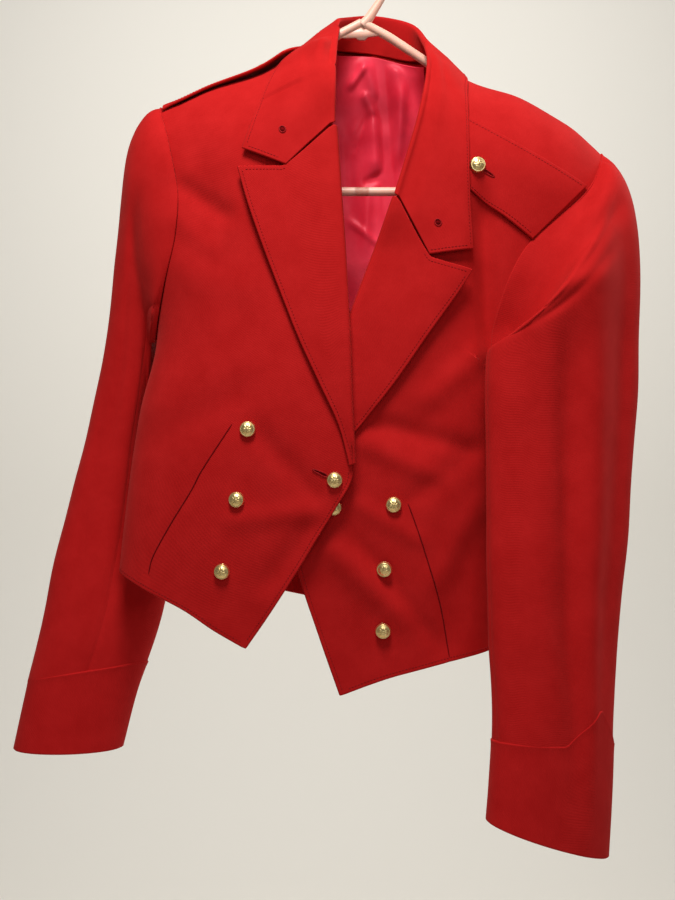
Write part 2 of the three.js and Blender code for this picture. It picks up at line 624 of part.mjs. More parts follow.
function lapelGrid(lapel) {
  const grid = [];
  const edgeEnd = lapel.rollEnd - 1.5;
  for (let j = 0; j <= LAPEL_ROWS; j += 1) {
    const v = j / LAPEL_ROWS;
    const rollZ = mix(lapel.rollTop, lapel.rollEnd, v);
    const edgeZ = mix(lapel.edgeTop, edgeEnd, v);
    const rollX = lapel.roll(rollZ);
    const edgeX = lapel.edge(edgeZ);
    const row = [];
    // Three points round the roll, from the front's edge outwards, then the lapel's face
    for (const turn of [0.12, 0.5, 0.85]) {
      const angle = Math.PI * (turn - 0.5);
      const x = rollX + lapel.sign * ROLL_RADIUS * (1 - Math.cos(angle));
      const y = lapel.faceY(rollX, rollZ) - ROLL_RADIUS * (1 + Math.sin(angle));
      row.push(vector(x, y, rollZ));
    }
    for (let i = 1; i <= LAPEL_COLUMNS; i += 1) {
      const u = i / LAPEL_COLUMNS;
      const straightTop = mix(lapel.rollTop, lapel.edgeTop, u);
      const bow = (lapel.top(u) - straightTop) * (1 - v) ** 2;
      const x = mix(rollX, edgeX, u) + lapel.sign * ROLL_RADIUS * (1 - u);
      const z = mix(rollZ, edgeZ, u) + bow;
      const lift = mix(2 * ROLL_RADIUS, LAPEL_LIFT, u);
      row.push(vector(x, lapel.faceY(x, z) - lift, z));
    }
    grid.push(row);
  }
  return grid;
}

// Collar: at each place round the neck its seam, its fold and the free edge of its fall.
const COLLAR = [
  {
    fx: -30, fy: -70.5, fz: -175, ex: -115, ey: -71, ez: -199, sx: -36, sy: -62.5, sz: -175,
    bow: -27, out: 0,
  },
  { fx: -30, fy: -62, fz: -131, ex: -102, ey: -61, ez: -160, sx: -43.5, sy: -54, sz: -132, bow: 0, out: 2 },
  { fx: -30, fy: -34, fz: -96, ex: -86, ey: -36, ez: -118, sx: -48, sy: -32, sz: -98, bow: 6, out: 2 },
  { fx: -27, fy: 0, fz: -65, ex: -62, ey: 4, ez: -86, sx: -49.5, sy: 2, sz: -79, bow: 3, out: 0 },
  { fx: -20, fy: 30, fz: -51, ex: -54, ey: 44, ez: -89, sx: -38, sy: 37, sz: -77, bow: 8, out: 4 },
  { fx: 7, fy: 56, fz: -39, ex: 7, ey: 70, ez: -96, sx: 7, sy: 56.5, sz: -77, bow: 2, out: 4 },
  { fx: 43, fy: 44, fz: -51, ex: 62, ey: 60, ez: -108, sx: 45, sy: 45.5, sz: -87, bow: 6, out: 4 },
  { fx: 53, fy: 2, fz: -81, ex: 93, ey: 6, ez: -113, sx: 62.5, sy: 2, sz: -94, bow: 2, out: 0 },
  { fx: 55, fy: -39, fz: -112, ex: 94, ey: -56, ez: -150, sx: 60.5, sy: -32, sz: -113, bow: 2, out: 3 },
  { fx: 46, fy: -70, fz: -165, ex: 94, ey: -79, ez: -228, sx: 51, sy: -63, sz: -167, bow: 0, out: 0 },
  { fx: 23, fy: -77.5, fz: -241, ex: 96, ey: -82, ez: -288, sx: 30, sy: -68.5, sz: -241, bow: -29, out: 0 },
];
const COLLAR_ROWS = 30;
const FALL_POINTS = 6;
const collarCurves = {};
const collarRows = COLLAR.map((row, i) => ({ ...row, share: i / (COLLAR.length - 1) }));
for (const column of Object.keys(COLLAR[0])) collarCurves[column] = curve(collarRows, 'share', column);

function collarGrid() {
  const grid = [];
  const at = (share, key) => vector(
    collarCurves[`${key}x`](share), collarCurves[`${key}y`](share), collarCurves[`${key}z`](share));
  for (let k = 0; k <= COLLAR_ROWS; k += 1) {
    const share = k / COLLAR_ROWS;
    const seam = at(share, 's');
    const fold = at(share, 'f');
    const edge = at(share, 'e');
    const up = fold.clone().sub(seam).normalize();
    const out = edge.clone().sub(fold);
    out.addScaledVector(up, -out.dot(up)).normalize();
    const radius = 2.6;
    const row = [seam.clone(), seam.clone().lerp(fold, 0.55)];
    for (const turn of [0.1, 0.5, 0.9]) {
      const angle = Math.PI * turn;
      row.push(fold.clone().addScaledVector(out, radius * (1 - Math.cos(angle)))
        .addScaledVector(up, radius * (Math.sin(angle) - 1)));
    }
    const start = fold.clone().addScaledVector(out, 2 * radius);
    for (let i = 1; i <= FALL_POINTS; i += 1) {
      const u = i / FALL_POINTS;
      const bulge = 4 * u * (1 - u);
      const point = start.clone().lerp(edge, u);
      point.z += (1 - Math.abs(2 * u - 1)) * collarCurves.bow(share);
      point.addScaledVector(vector(0, Math.sign(point.y), 0), bulge * collarCurves.out(share));
      row.push(restOutside(point, share));
    }
    grid.push(row);
  }
  return grid;
}

// Moves a point of the collar's fall out to its place above the body.
function restOutside(point, share) {
  if (point.y < -22) {
    const face = share > 0.5 ? leftFrontY : frontY;
    const limit = face(point.x, point.z) - COLLAR_LIFT;
    point.y = share < 0.12 || share > 0.88 ? limit : Math.min(point.y, limit);
  } else if (point.y > 22) {
    point.y = Math.max(point.y, backY(point.x, point.z) + 5);
  }
  return point;
}

// Shoulder straps. The left one lies on the front slope, the right one over the shoulder ridge.
const STRAP_POINT = 16; // length of the pointed end

function strapLeftGrid() {
  const columns = 10;
  const rows = 4;
  const neck = { top: [82, -165], bottom: [81, -229] };
  const arm = { top: [199, -224], bottom: [148, -274] };
  const grid = [];
  for (let j = 0; j <= rows; j += 1) {
    const v = j / rows;
    const point = STRAP_POINT * (1 - Math.abs(2 * v - 1));
    const row = [];
    for (let i = 0; i <= columns; i += 1) {
      const u = i / columns;
      const x = mix(mix(neck.top[0], neck.bottom[0], v) - point, mix(arm.top[0], arm.bottom[0], v), u);
      const z = mix(mix(neck.top[1], neck.bottom[1], v) + point * 0.4, mix(arm.top[1], arm.bottom[1], v), u);
      row.push(vector(x, frontY(x, z) - STRAP_LIFT, z));
    }
    grid.push(row);
  }
  return grid;
}

// Height of the shoulder's outside at a place in plan, y in front of the ridge being negative.
function shoulderTop(x, y) {
  const height = y < 0 ? RIDGE_FRONT : RIDGE_BACK;
  const z = ridgeHeight(x) - 12;
  const depth = (y < 0 ? frontDepth(z) : backDepth(z)) * sideFactor(x, z);
  const share = clamp(Math.abs(y) / depth, 0, 0.97);
  return ridgeHeight(x) - height * (1 - Math.sqrt(1 - share * share));
}

function strapRightGrid() {
  const columns = 10;
  const rows = 6;
  const front = { arm: -17, neck: -22 };
  const back = { arm: 34, neck: 26 };
  const grid = [];
  for (let j = 0; j <= rows; j += 1) {
    const v = j / rows;
    const point = STRAP_POINT * (1 - Math.abs(2 * v - 1));
    const row = [];
    for (let i = 0; i <= columns; i += 1) {
      const u = i / columns;
      const x = mix(-80 + point, -189, u);
      const y = mix(mix(front.neck, back.neck, v), mix(front.arm, back.arm, v), u);
      const lift = mix(4.6, STRAP_LIFT, u) + 1.5 * Math.abs(v - 0.4);
      row.push(vector(x, y * 1.06, shoulderTop(x, y) + lift));
    }
    grid.push(row);
  }
  return grid;
}

// The lining inside the back, seen in the neck.
const LINING_BEHIND = 4.6;
function liningGrid() {
  const columns = 12;
  const rows = 11;
  const grid = [];
  for (let j = 0; j <= rows; j += 1) {
    const v = 1 - Math.cos(j / rows * Math.PI / 2);
    const row = [];
    for (let i = 0; i <= columns; i += 1) {
      const u = i / columns;
      const x = mix(mix(-38, -84, v), mix(44, 76, v), u);
      const z = mix(neckBack(x) - 3, -335, v);
      const ripple = 4 * Math.exp(-(((x - 12 + 0.12 * (z + 90)) / 9) ** 2)) * ease((-90 - z) / 60);
      row.push(vector(x, backY(x, z) - LINING_BEHIND - ripple, z));
    }
    grid.push(row);
  }
  return grid;
}

// The pieces that lie over others, and the neighbours that they are cut back from.
const TRIMS = {
  top_sleeve_right: ['front_right', 'side_right', 'back_right'],
  under_sleeve_right: ['front_right', 'side_right', 'back_right', 'top_sleeve_right'],
  top_sleeve_left: ['front_left', 'side_left', 'back_left'],
  under_sleeve_left: ['front_left', 'side_left', 'back_left', 'top_sleeve_left'],
  shoulder_strap_left: ['top_sleeve_left'],
  shoulder_strap_right: ['top_sleeve_right'],
  collar: ['front_left', 'front_right', 'back_left', 'back_right'],
};

// The wall of a sheet

function naturalNormals(grid) {
  const rows = grid.length;
  const columns = grid[0].length;
  const slope = (get, i, count) => {
    if (i === 0) return get(0).clone().multiplyScalar(-3).addScaledVector(get(1), 4).sub(get(2));
    if (i === count - 1) {
      return get(i).clone().multiplyScalar(3).addScaledVector(get(i - 1), -4).add(get(i - 2));
    }
    return get(i + 1).clone().sub(get(i - 1));
  };
  return grid.map((row, j) => row.map((_, i) => {
    const across = slope((k) => grid[j][k], i, columns);
    const down = slope((k) => grid[k][i], j, rows);
    return across.cross(down).normalize();
  }));
}

const placeKey = (p) => `${Math.round(p.x * 50)},${Math.round(p.y * 50)},${Math.round(p.z * 50)}`;

function buildWalls() {
  const shared = new Map();
  for (const sheet of sheets) {
    sheet.normals = naturalNormals(sheet.grid);
    if (sheet.closed) closeNormals(sheet);
    if (sheet.flip) sheet.normals.forEach((row) => row.forEach((n) => n.negate()));
    if (!sheet.mitre) continue;
    forBorder(sheet.grid, (p, j, i) => {
      const key = placeKey(p);
      if (!shared.has(key)) shared.set(key, []);
      shared.get(key).push(sheet.normals[j][i]);
    });
  }
  for (const sheet of sheets) {
    sheet.edge = sheet.normals.map((row) => row.map((n) => n.clone()));
    if (!sheet.mitre) continue;
    forBorder(sheet.grid, (p, j, i) => {
      const others = shared.get(placeKey(p));
      if (others.length < 2) return;
      const middle = others.reduce((sum, n) => sum.add(n), vector(0, 0, 0)).normalize();
      const half = Math.max(middle.dot(sheet.normals[j][i]), 0.6);
      sheet.edge[j][i] = middle.divideScalar(half);
    });
  }
  return sheets.map((sheet) => trimmedMesh(sheet, TRIMS[sheet.name] ?? []));
}

// A sheet's wall, with what its neighbours take up, and a gap round them, cut away.
const CUT_TOLERANCE = 0.03;
function trimmedMesh(sheet, neighbours) {
  const wall = wallBody(sheet, sheet.thickness, insetGrid(sheet));
  if (!neighbours.length) return closedMesh(sheet.name, wall.positions, wall.index, sheet.finish);
  let body = solid(wall);
  for (const name of neighbours) {
    const other = sheets.find((candidate) => candidate.name === name);
    body = body.subtract(solid(wallBody(other, other.thickness + 2 * SEAM_GAP, other.grid)));
    body = body.subtract(solid(wallBody(other, other.thickness, insetGrid(other))));
  }
  const pieces = body.simplify(CUT_TOLERANCE).decompose();
  const mesh = pieces.sort((a, b) => b.volume() - a.volume())[0].getMesh();
  return closedMesh(sheet.name, [...mesh.vertProperties], [...mesh.triVerts], sheet.finish);
}

function forBorder(grid, visit) {
  const lastRow = grid.length - 1;
  const lastColumn = grid[0].length - 1;
  grid.forEach((row, j) => row.forEach((p, i) => {
    if (j === 0 || j === lastRow || i === 0 || i === lastColumn) visit(p, j, i);
  }));
}

// On a tube the first and last columns are the same line, and share one normal.
function closeNormals(sheet) {
  const last = sheet.grid[0].length - 1;
  sheet.normals.forEach((row) => {
    const middle = row[0].clone().add(row[last]).normalize();
    row[0].copy(middle);
    row[last].copy(middle);
  });
}

function insetGrid(sheet) {
  const { grid, edge } = sheet;
  const lastRow = grid.length - 1;
  const lastColumn = grid[0].length - 1;
  const moved = grid.map((row) => row.map((p) => p.clone()));
  const pull = (j, i, toJ, toI) => {
    const inward = grid[toJ][toI].clone().sub(grid[j][i]);
    const normal = edge[j][i].clone().normalize();
    inward.addScaledVector(normal, -inward.dot(normal)).normalize();
    moved[j][i].addScaledVector(inward, SEAM_GAP / 2);
  };
  for (let i = 0; i <= lastColumn; i += 1) {
    pull(0, i, 1, i);
    pull(lastRow, i, lastRow - 1, i);
  }
  if (!sheet.closed) {
    for (let j = 0; j <= lastRow; j += 1) {
      pull(j, 0, j, 1);
      pull(j, lastColumn, j, lastColumn - 1);
    }
  }
  return moved;
}

function wallBody(sheet, thickness, grid) {
  const rows = grid.length;
  const columns = sheet.closed ? grid[0].length - 1 : grid[0].length;
  const positions = [];
  for (const side of [0.5, -0.5]) {
    for (let j = 0; j < rows; j += 1) {
      for (let i = 0; i < columns; i += 1) {
        const p = grid[j][i].clone().addScaledVector(sheet.edge[j][i], side * thickness);
        positions.push(p.x, p.y, p.z);
      }
    }
  }
  const layer = rows * columns;
  const id = (j, i, side) => side * layer + j * columns + (i % columns);
  const index = [];
  const quad = (a, b, c, d) => index.push(a, b, c, a, c, d);
  const spans = sheet.closed ? columns : columns - 1;
  for (let j = 0; j < rows - 1; j += 1) {
    for (let i = 0; i < spans; i += 1) {
      quad(id(j, i, 0), id(j, i + 1, 0), id(j + 1, i + 1, 0), id(j + 1, i, 0));
      quad(id(j, i, 1), id(j + 1, i, 1), id(j + 1, i + 1, 1), id(j, i + 1, 1));
    }
  }
  for (let i = 0; i < spans; i += 1) {
    quad(id(0, i, 0), id(0, i, 1), id(0, i + 1, 1), id(0, i + 1, 0));
    quad(id(rows - 1, i, 0), id(rows - 1, i + 1, 0), id(rows - 1, i + 1, 1), id(rows - 1, i, 1));
  }
  if (!sheet.closed) {
    for (let j = 0; j < rows - 1; j += 1) {
      quad(id(j, 0, 0), id(j + 1, 0, 0), id(j + 1, 0, 1), id(j, 0, 1));
      const end = columns - 1;
      quad(id(j, end, 0), id(j, end, 1), id(j + 1, end, 1), id(j + 1, end, 0));
    }
  }
  return { positions, index };
}

// A mesh from positions and triangles, turned outwards if its volume comes out negative.
function closedMesh(name, positions, index, finish) {
  let volume = 0;
  const at = (i) => vector(positions[3 * i], positions[3 * i + 1], positions[3 * i + 2]);
  for (let t = 0; t < index.length; t += 3) {
    volume += at(index[t]).dot(at(index[t + 1]).cross(at(index[t + 2])));
  }
  const outward = volume < 0 ? [...index].reverse() : index;
  const geometry = new THREE.BufferGeometry();
  geometry.setAttribute('position', new THREE.Float32BufferAttribute(positions, 3));
  geometry.setIndex(outward);
  return namedMesh(name, geometry, finish);
}

function namedMesh(name, geometry, finish) {
  geometry.computeVertexNormals();
  const mesh = new THREE.Mesh(geometry, new THREE.MeshStandardMaterial(finish));
  mesh.name = name;
  return mesh;
}

// Dome buttons: a low rim, a domed face and a flat back, standing on the cloth's outer face.
const BUTTON_SIDES = 12;
function buttonMesh(name, place, normal) {
  const profile = [
    [0, 0], [BUTTON_RADIUS, 0], [BUTTON_RADIUS, 1.2], [BUTTON_RADIUS * 0.86, 2.6],
    [BUTTON_RADIUS * 0.5, BUTTON_HEIGHT * 0.88], [0, BUTTON_HEIGHT],
  ].map(([r, h]) => new THREE.Vector2(r, h));
  const geometry = new THREE.LatheGeometry(profile, BUTTON_SIDES);
  geometry.deleteAttribute('normal');
  geometry.deleteAttribute('uv');
  const mesh = namedMesh(name, mergeVertices(geometry, 1e-3), GILT);
  mesh.quaternion.setFromUnitVectors(vector(0, 1, 0), normal);
  mesh.position.copy(place);
  return mesh;
}

// A button on a front, lifted until the highest cloth under its rim is clear.
function frontButton(name, x, z, faceY, lift) {
  const normal = outward(faceY, x, z);
  const place = vector(x, faceY(x, z), z);
  let rise = 0;
  for (let i = 0; i < BUTTON_SIDES; i += 1) {
    const angle = 2 * Math.PI * i / BUTTON_SIDES;
    const rimX = x + BUTTON_RADIUS * Math.cos(angle);
    const rimZ = z + BUTTON_RADIUS * Math.sin(angle);
    const rim = vector(rimX, faceY(rimX, rimZ), rimZ).sub(place);
    rise = Math.max(rise, rim.dot(normal));
  }
  return buttonMesh(name, place.addScaledVector(normal, lift + rise), normal);
}

const BUTTONS = {
  right: [{ x: -110, z: -456 }, { x: -120, z: -520 }, { x: -135, z: -586 }],
  left: [{ x: 23, z: -525 }, { x: 15, z: -584 }, { x: 12, z: -642, lift: 0.5 }],
};
const ON_CLOTH = CLOTH / 2 + 0.75;

// Hanger

// A tube of round section along a list of points, with flat ends.
function sweep(points, radius, sides) {
  const positions = [];
  const index = [];
  let side = null;
  points.forEach((p, k) => {
    const before = points[Math.max(k - 1, 0)];
    const after = points[Math.min(k + 1, points.length - 1)];
    const along = after.clone().sub(before).normalize();
    side = (side ?? vector(0, 1, 0)).clone();
    side.addScaledVector(along, -side.dot(along)).normalize();
    const other = along.clone().cross(side);
    for (let i = 0; i < sides; i += 1) {
      const angle = 2 * Math.PI * i / sides;
      const q = p.clone().addScaledVector(side, radius * Math.cos(angle));
      q.addScaledVector(other, radius * Math.sin(angle));
      positions.push(q.x, q.y, q.z);
    }
  });
  const rings = points.length;
  for (let k = 0; k < rings - 1; k += 1) {
    for (let i = 0; i < sides; i += 1) {
      const a = k * sides + i;
      const b = k * sides + (i + 1) % sides;
      index.push(a, b, b + sides, a, b + sides, a + sides);
    }
  }
  for (let i = 1; i < sides - 1; i += 1) {
    index.push(0, i + 1, i);
    const base = (rings - 1) * sides;
    index.push(base, base + i, base + i + 1);
  }
  return { positions, index };
}

function solid({ positions, index }) {
  let volume = 0;
  const at = (i) => vector(positions[3 * i], positions[3 * i + 1], positions[3 * i + 2]);
  for (let t = 0; t < index.length; t += 3) {
    volume += at(index[t]).dot(at(index[t + 1]).cross(at(index[t + 2])));
  }
  const outward = volume < 0 ? [...index].reverse() : index;
  return new wasm.Manifold(new wasm.Mesh({
    numProp: 3, vertProperties: new Float32Array(positions), triVerts: new Uint32Array(outward),
  }));
}

const HANGER = {
  joint: { x: -5, z: -63.1 }, barZ: -226, hookRadius: 19, hookTube: 3.6,
  arm: [
    { dx: 0, dz: 0 }, { dx: 25, dz: -13 }, { dx: 56, dz: -33.5 }, { dx: 75, dz: -47 },
    { dx: 100, dz: -65 }, { dx: 150, dz: -96 }, { dx: 186, dz: -119 },
  ],
  endX: 203, endRound: 22,
};

function hangerMesh() {
  const { joint, barZ, hookRadius, hookTube, arm, endX, endRound } = HANGER;
  const loop = [];
  const armPoints = arm.map(({ dx, dz }) => ({ x: dx, z: joint.z + dz }));
  const endTop = armPoints[armPoints.length - 1];
  const tipMiddle = { x: endX - endRound, z: barZ + endRound };
  const round = [0.55, 0.2, -0.15, -0.5, -0.8, -1].map((s) => {
    const angle = s * Math.PI / 2;
    return { x: tipMiddle.x + endRound * Math.cos(angle), z: tipMiddle.z + endRound * Math.sin(angle) };
  });
  const half = [...armPoints.slice(0, -1), endTop, ...round, { x: 60, z: barZ }];
  for (const sign of [1, -1]) {
    loop.push(half.map(({ x, z }) => vector(joint.x + sign * x, 0, z)));
  }
  const bar = [vector(joint.x - 70, 0, barZ), vector(joint.x + 70, 0, barZ)];
  const hook = [[0, -5], [6, 3], [17, 20]].map(([dx, dz]) => vector(joint.x + dx, 0, joint.z + dz));
  const centre = { x: 0, z: -hookRadius };
  const pathRadius = hookRadius + hookTube;
  for (let i = 0; i <= 11; i += 1) {
    const angle = mix(-0.12, 1.22, i / 11) * Math.PI;
    hook.push(vector(centre.x + pathRadius * Math.cos(angle), 0, centre.z + pathRadius * Math.sin(angle)));
  }
  let body = solid(sweep(loop[0], TUBE_RADIUS, 9));
  body = body.add(solid(sweep(loop[1], TUBE_RADIUS, 9)));
  body = body.add(solid(sweep(bar, TUBE_RADIUS, 9)));
  body = body.add(solid(sweep(hook, hookTube, 8)));
  const web = new THREE.Shape([
    [-26, -16], [-12, -5], [12, -5], [26, -16], [16, -19], [0, -24], [-16, -19],
  ].map(([x, z]) => new THREE.Vector2(x, z)));
  const plate = new THREE.ExtrudeGeometry(web, { depth: 3, bevelEnabled: false });
  plate.deleteAttribute('normal');
  plate.deleteAttribute('uv');
  plate.rotateX(Math.PI / 2);
  plate.translate(joint.x, 1.5, joint.z);
  const merged = mergeVertices(plate, 1e-3);
  const positions = [...merged.attributes.position.array];
  body = body.add(solid({ positions, index: [...merged.index.array] }));
  const mesh = body.getMesh();
  return closedMesh('hanger', [...mesh.vertProperties], [...mesh.triVerts], PLASTIC);
}

// The jacket
for (const side of ['right', 'left']) {
  const half = BODY[side];
  const flip = side === 'right';
  addSheet(`front_${side}`, frontGrid(half), SCARLET, { mitre: true, flip });
  addSheet(`side_${side}`, sideGrid(half), SCARLET, { mitre: true, flip: !flip });
  addSheet(`back_${side}`, backGrid(half), SCARLET, { mitre: true, flip: !flip });
  const loop = armLoop(half);
  const grid = sleeveGrid(side, loop);
  const seams = SLEEVE_SEAMS[side];
  const top = columnsBetween(grid, seams.back, seams.front);
  const under = columnsBetween(grid, seams.front, seams.back);
  addSheet(`top_sleeve_${side}`, top, SCARLET, { mitre: true, flip });
  addSheet(`under_sleeve_${side}`, under, SCARLET, { mitre: true, flip });
  addSheet(`cuff_${side}`, cuffGrid(side, loop), SCARLET_DEEP, { closed: true, mitre: true, flip });
  addSheet(`lapel_${side}`, lapelGrid(LAPELS[side]), SCARLET);
}
addSheet('collar', collarGrid(), SCARLET);
addSheet('shoulder_strap_left', strapLeftGrid(), SCARLET, { thickness: 2.2 });
addSheet('shoulder_strap_right', strapRightGrid(), SCARLET, { thickness: 2.2 });
addSheet('lining_back', liningGrid(), SATIN, { thickness: LINING });

const group = new THREE.Group();
for (const mesh of buildWalls()) group.add(mesh);
for (const side of ['right', 'left']) {
  BUTTONS[side].forEach(({ x, z, lift }, i) => {
    group.add(frontButton(`button_${side}_${i + 1}`, x, z, BODY[side].faceY, ON_CLOTH + (lift ?? 0)));
  });
}
group.add(frontButton('link_button_outer', -31, -502, frontY, ON_CLOTH));
group.add(frontButton('link_button_inner', -30, -531, leftFrontY, ON_CLOTH));
group.add(frontButton('strap_button_left', 101, -209, frontY, STRAP_LIFT + ON_CLOTH));
const ridgeButton = { x: -101, y: 3 };
const ridgeSlope = (ridgeHeight(ridgeButton.x + 5) - ridgeHeight(ridgeButton.x - 5)) / 10;
group.add(buttonMesh('strap_button_right',
  vector(ridgeButton.x, ridgeButton.y, shoulderTop(ridgeButton.x, ridgeButton.y) + 4.6 + ON_CLOTH + 0.4),
  vector(-ridgeSlope, 0, 1).normalize()));
group.add(hangerMesh());

export default group;
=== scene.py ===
import logging
from dataclasses import dataclass, field
from enum import Enum
from typing import Callable, Optional, Sequence

import bpy
import numpy as np
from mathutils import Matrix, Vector


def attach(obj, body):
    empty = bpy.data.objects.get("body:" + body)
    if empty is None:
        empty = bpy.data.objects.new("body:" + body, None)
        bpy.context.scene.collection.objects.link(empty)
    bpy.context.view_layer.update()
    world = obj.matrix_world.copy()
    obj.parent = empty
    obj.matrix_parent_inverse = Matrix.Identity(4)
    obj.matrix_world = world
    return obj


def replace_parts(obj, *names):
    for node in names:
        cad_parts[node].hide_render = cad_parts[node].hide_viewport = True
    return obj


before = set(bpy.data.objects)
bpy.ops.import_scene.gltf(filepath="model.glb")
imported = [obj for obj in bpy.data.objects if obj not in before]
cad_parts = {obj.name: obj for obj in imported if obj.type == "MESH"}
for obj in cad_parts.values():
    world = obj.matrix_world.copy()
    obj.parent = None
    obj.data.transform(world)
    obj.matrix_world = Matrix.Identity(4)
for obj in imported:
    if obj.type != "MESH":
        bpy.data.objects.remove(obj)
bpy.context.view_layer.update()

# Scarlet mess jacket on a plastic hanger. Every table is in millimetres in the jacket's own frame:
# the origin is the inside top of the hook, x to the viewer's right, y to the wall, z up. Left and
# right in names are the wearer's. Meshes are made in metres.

MM = 0.001
Array = np.ndarray
Shade = tuple[float, float, float]
Surface = Callable[[Array, Array], Array]
log = logging.getLogger("mess_jacket")

# Walls: the wool, the doubled wool of cuffs and straps, and the satin
CLOTH = 2.0
DOUBLED = 2.4
LINING = 1.2
# Height over which the shoulder rounds off in front and behind, and the power of the body's section
RIDGE_FRONT = 90.0
RIDGE_BACK = 60.0
SQUARENESS = 2.4
# How far the left front lies behind the right one
OVERLAP_STEP = 12.0
# Radii of the lapels' and the collar's fold, and heights of middle surfaces above a front's
ROLL_RADIUS = 3.4
FOLD_RADIUS = 2.6
LAPEL_LIFT = 4.2
COLLAR_LIFT = 7.2
STRAP_LIFT = 3.4
# Topstitching: distance inside a free edge, and inside the fronts' edge and hem
EDGE_STITCH = 3.0
FRONT_STITCH = 3.4
# Depth of the dip along darts and seams
DART_DIP = -0.9
SEAM_DIP = -0.9
# Seeds of the cloth's swell
FRONT_SWELL = 11
BACK_SWELL = 23
SLEEVE_SWELL = 37
LAPEL_SWELL = 5
COLLAR_SWELL = 9


class Side(Enum):
    """The wearer's side of a piece."""

    RIGHT = "right"
    LEFT = "left"


class Border(Enum):
    """The four borders of a grid of points."""

    TOP = "top"
    BOTTOM = "bottom"
    FIRST = "first"
    LAST = "last"


def ease(t: Array) -> Array:
    """Smooth step of t from 0 to 1: 3 t squared less 2 t cubed."""
    s = np.clip(t, 0.0, 1.0)
    return s * s * (3 - 2 * s)


def mix(a: Array, b: Array, t: Array) -> Array:
    """Straight mix of a and b."""
    return a + (b - a) * t


def above(d: Array, soft: float) -> Array:
    """The part of d above 0, with a rounded corner: half of d and of its length with soft."""
    return (d + np.sqrt(d * d + soft * soft)) / 2


def unit(v: Array) -> Array:
    """Vectors along the last axis, brought to length 1."""
    return v / np.maximum(np.linalg.norm(v, axis=-1, keepdims=True), 1e-9)


def stack(*coordinates: Array) -> Array:
    """Points from an array for each coordinate."""
    return np.stack(np.broadcast_arrays(*coordinates), axis=-1).astype(float)


def run_of(path: Array) -> Array:
    """Length along a path from its beginning to each point."""
    return np.concatenate([[0], np.cumsum(np.linalg.norm(np.diff(path, axis=0), axis=1))])


def sample(path: Array, run: Array, at: Array) -> Array:
    """A path's rows mixed straight at some lengths along it, where run has each row's own length."""
    return np.stack([np.interp(at, run, path[:, k]) for k in range(3)], -1)


@dataclass(frozen=True)
class Curve:
    """A smooth curve through a short table: cubic pieces whose slopes are those of the neighbours."""

    rows: tuple[tuple[float, float], ...]

    def __call__(self, x: Array) -> Array:
        """Value at x.

        Args:
            x: places, held inside the table's ends.

        Returns:
            The curve's values there.
        """
        at, value = np.array(self.rows, float).T
        if at[0] > at[-1]:
            at, value = at[::-1], value[::-1]
        slope = np.gradient(value)
        slope[1:-1] = (value[2:] - value[:-2]) / (at[2:] - at[:-2])
        slope[0] = (value[1] - value[0]) / (at[1] - at[0])
        slope[-1] = (value[-1] - value[-2]) / (at[-1] - at[-2])
        x = np.clip(x, at[0], at[-1])
        i = np.clip(np.searchsorted(at, x) - 1, 0, len(at) - 2)
        width = at[i + 1] - at[i]
        t = (x - at[i]) / width
        return ((2 * t**3 - 3 * t**2 + 1) * value[i] + (t**3 - 2 * t**2 + t) * width * slope[i]
                + (3 * t**2 - 2 * t**3) * value[i + 1] + (t**3 - t**2) * width * slope[i + 1])


@dataclass(frozen=True)
class Fold:
    """A soft trough (height below 0) or ridge along a line in front view."""

    x1: float
    z1: float
    x2: float
    z2: float
    width: float
    height: float

    def __call__(self, x: Array, z: Array) -> Array:
        """Height at a place: a bell across the line, eased out past both ends."""
        dx, dz = self.x2 - self.x1, self.z2 - self.z1
        length = np.hypot(dx, dz)
        along = ((x - self.x1) * dx + (z - self.z1) * dz) / length**2
        across = ((x - self.x1) * dz - (z - self.z1) * dx) / length
        end = ease((along + 0.25) / 0.4) * ease((1.25 - along) / 0.4)
        return self.height * end * np.exp(-((across / self.width) ** 2))


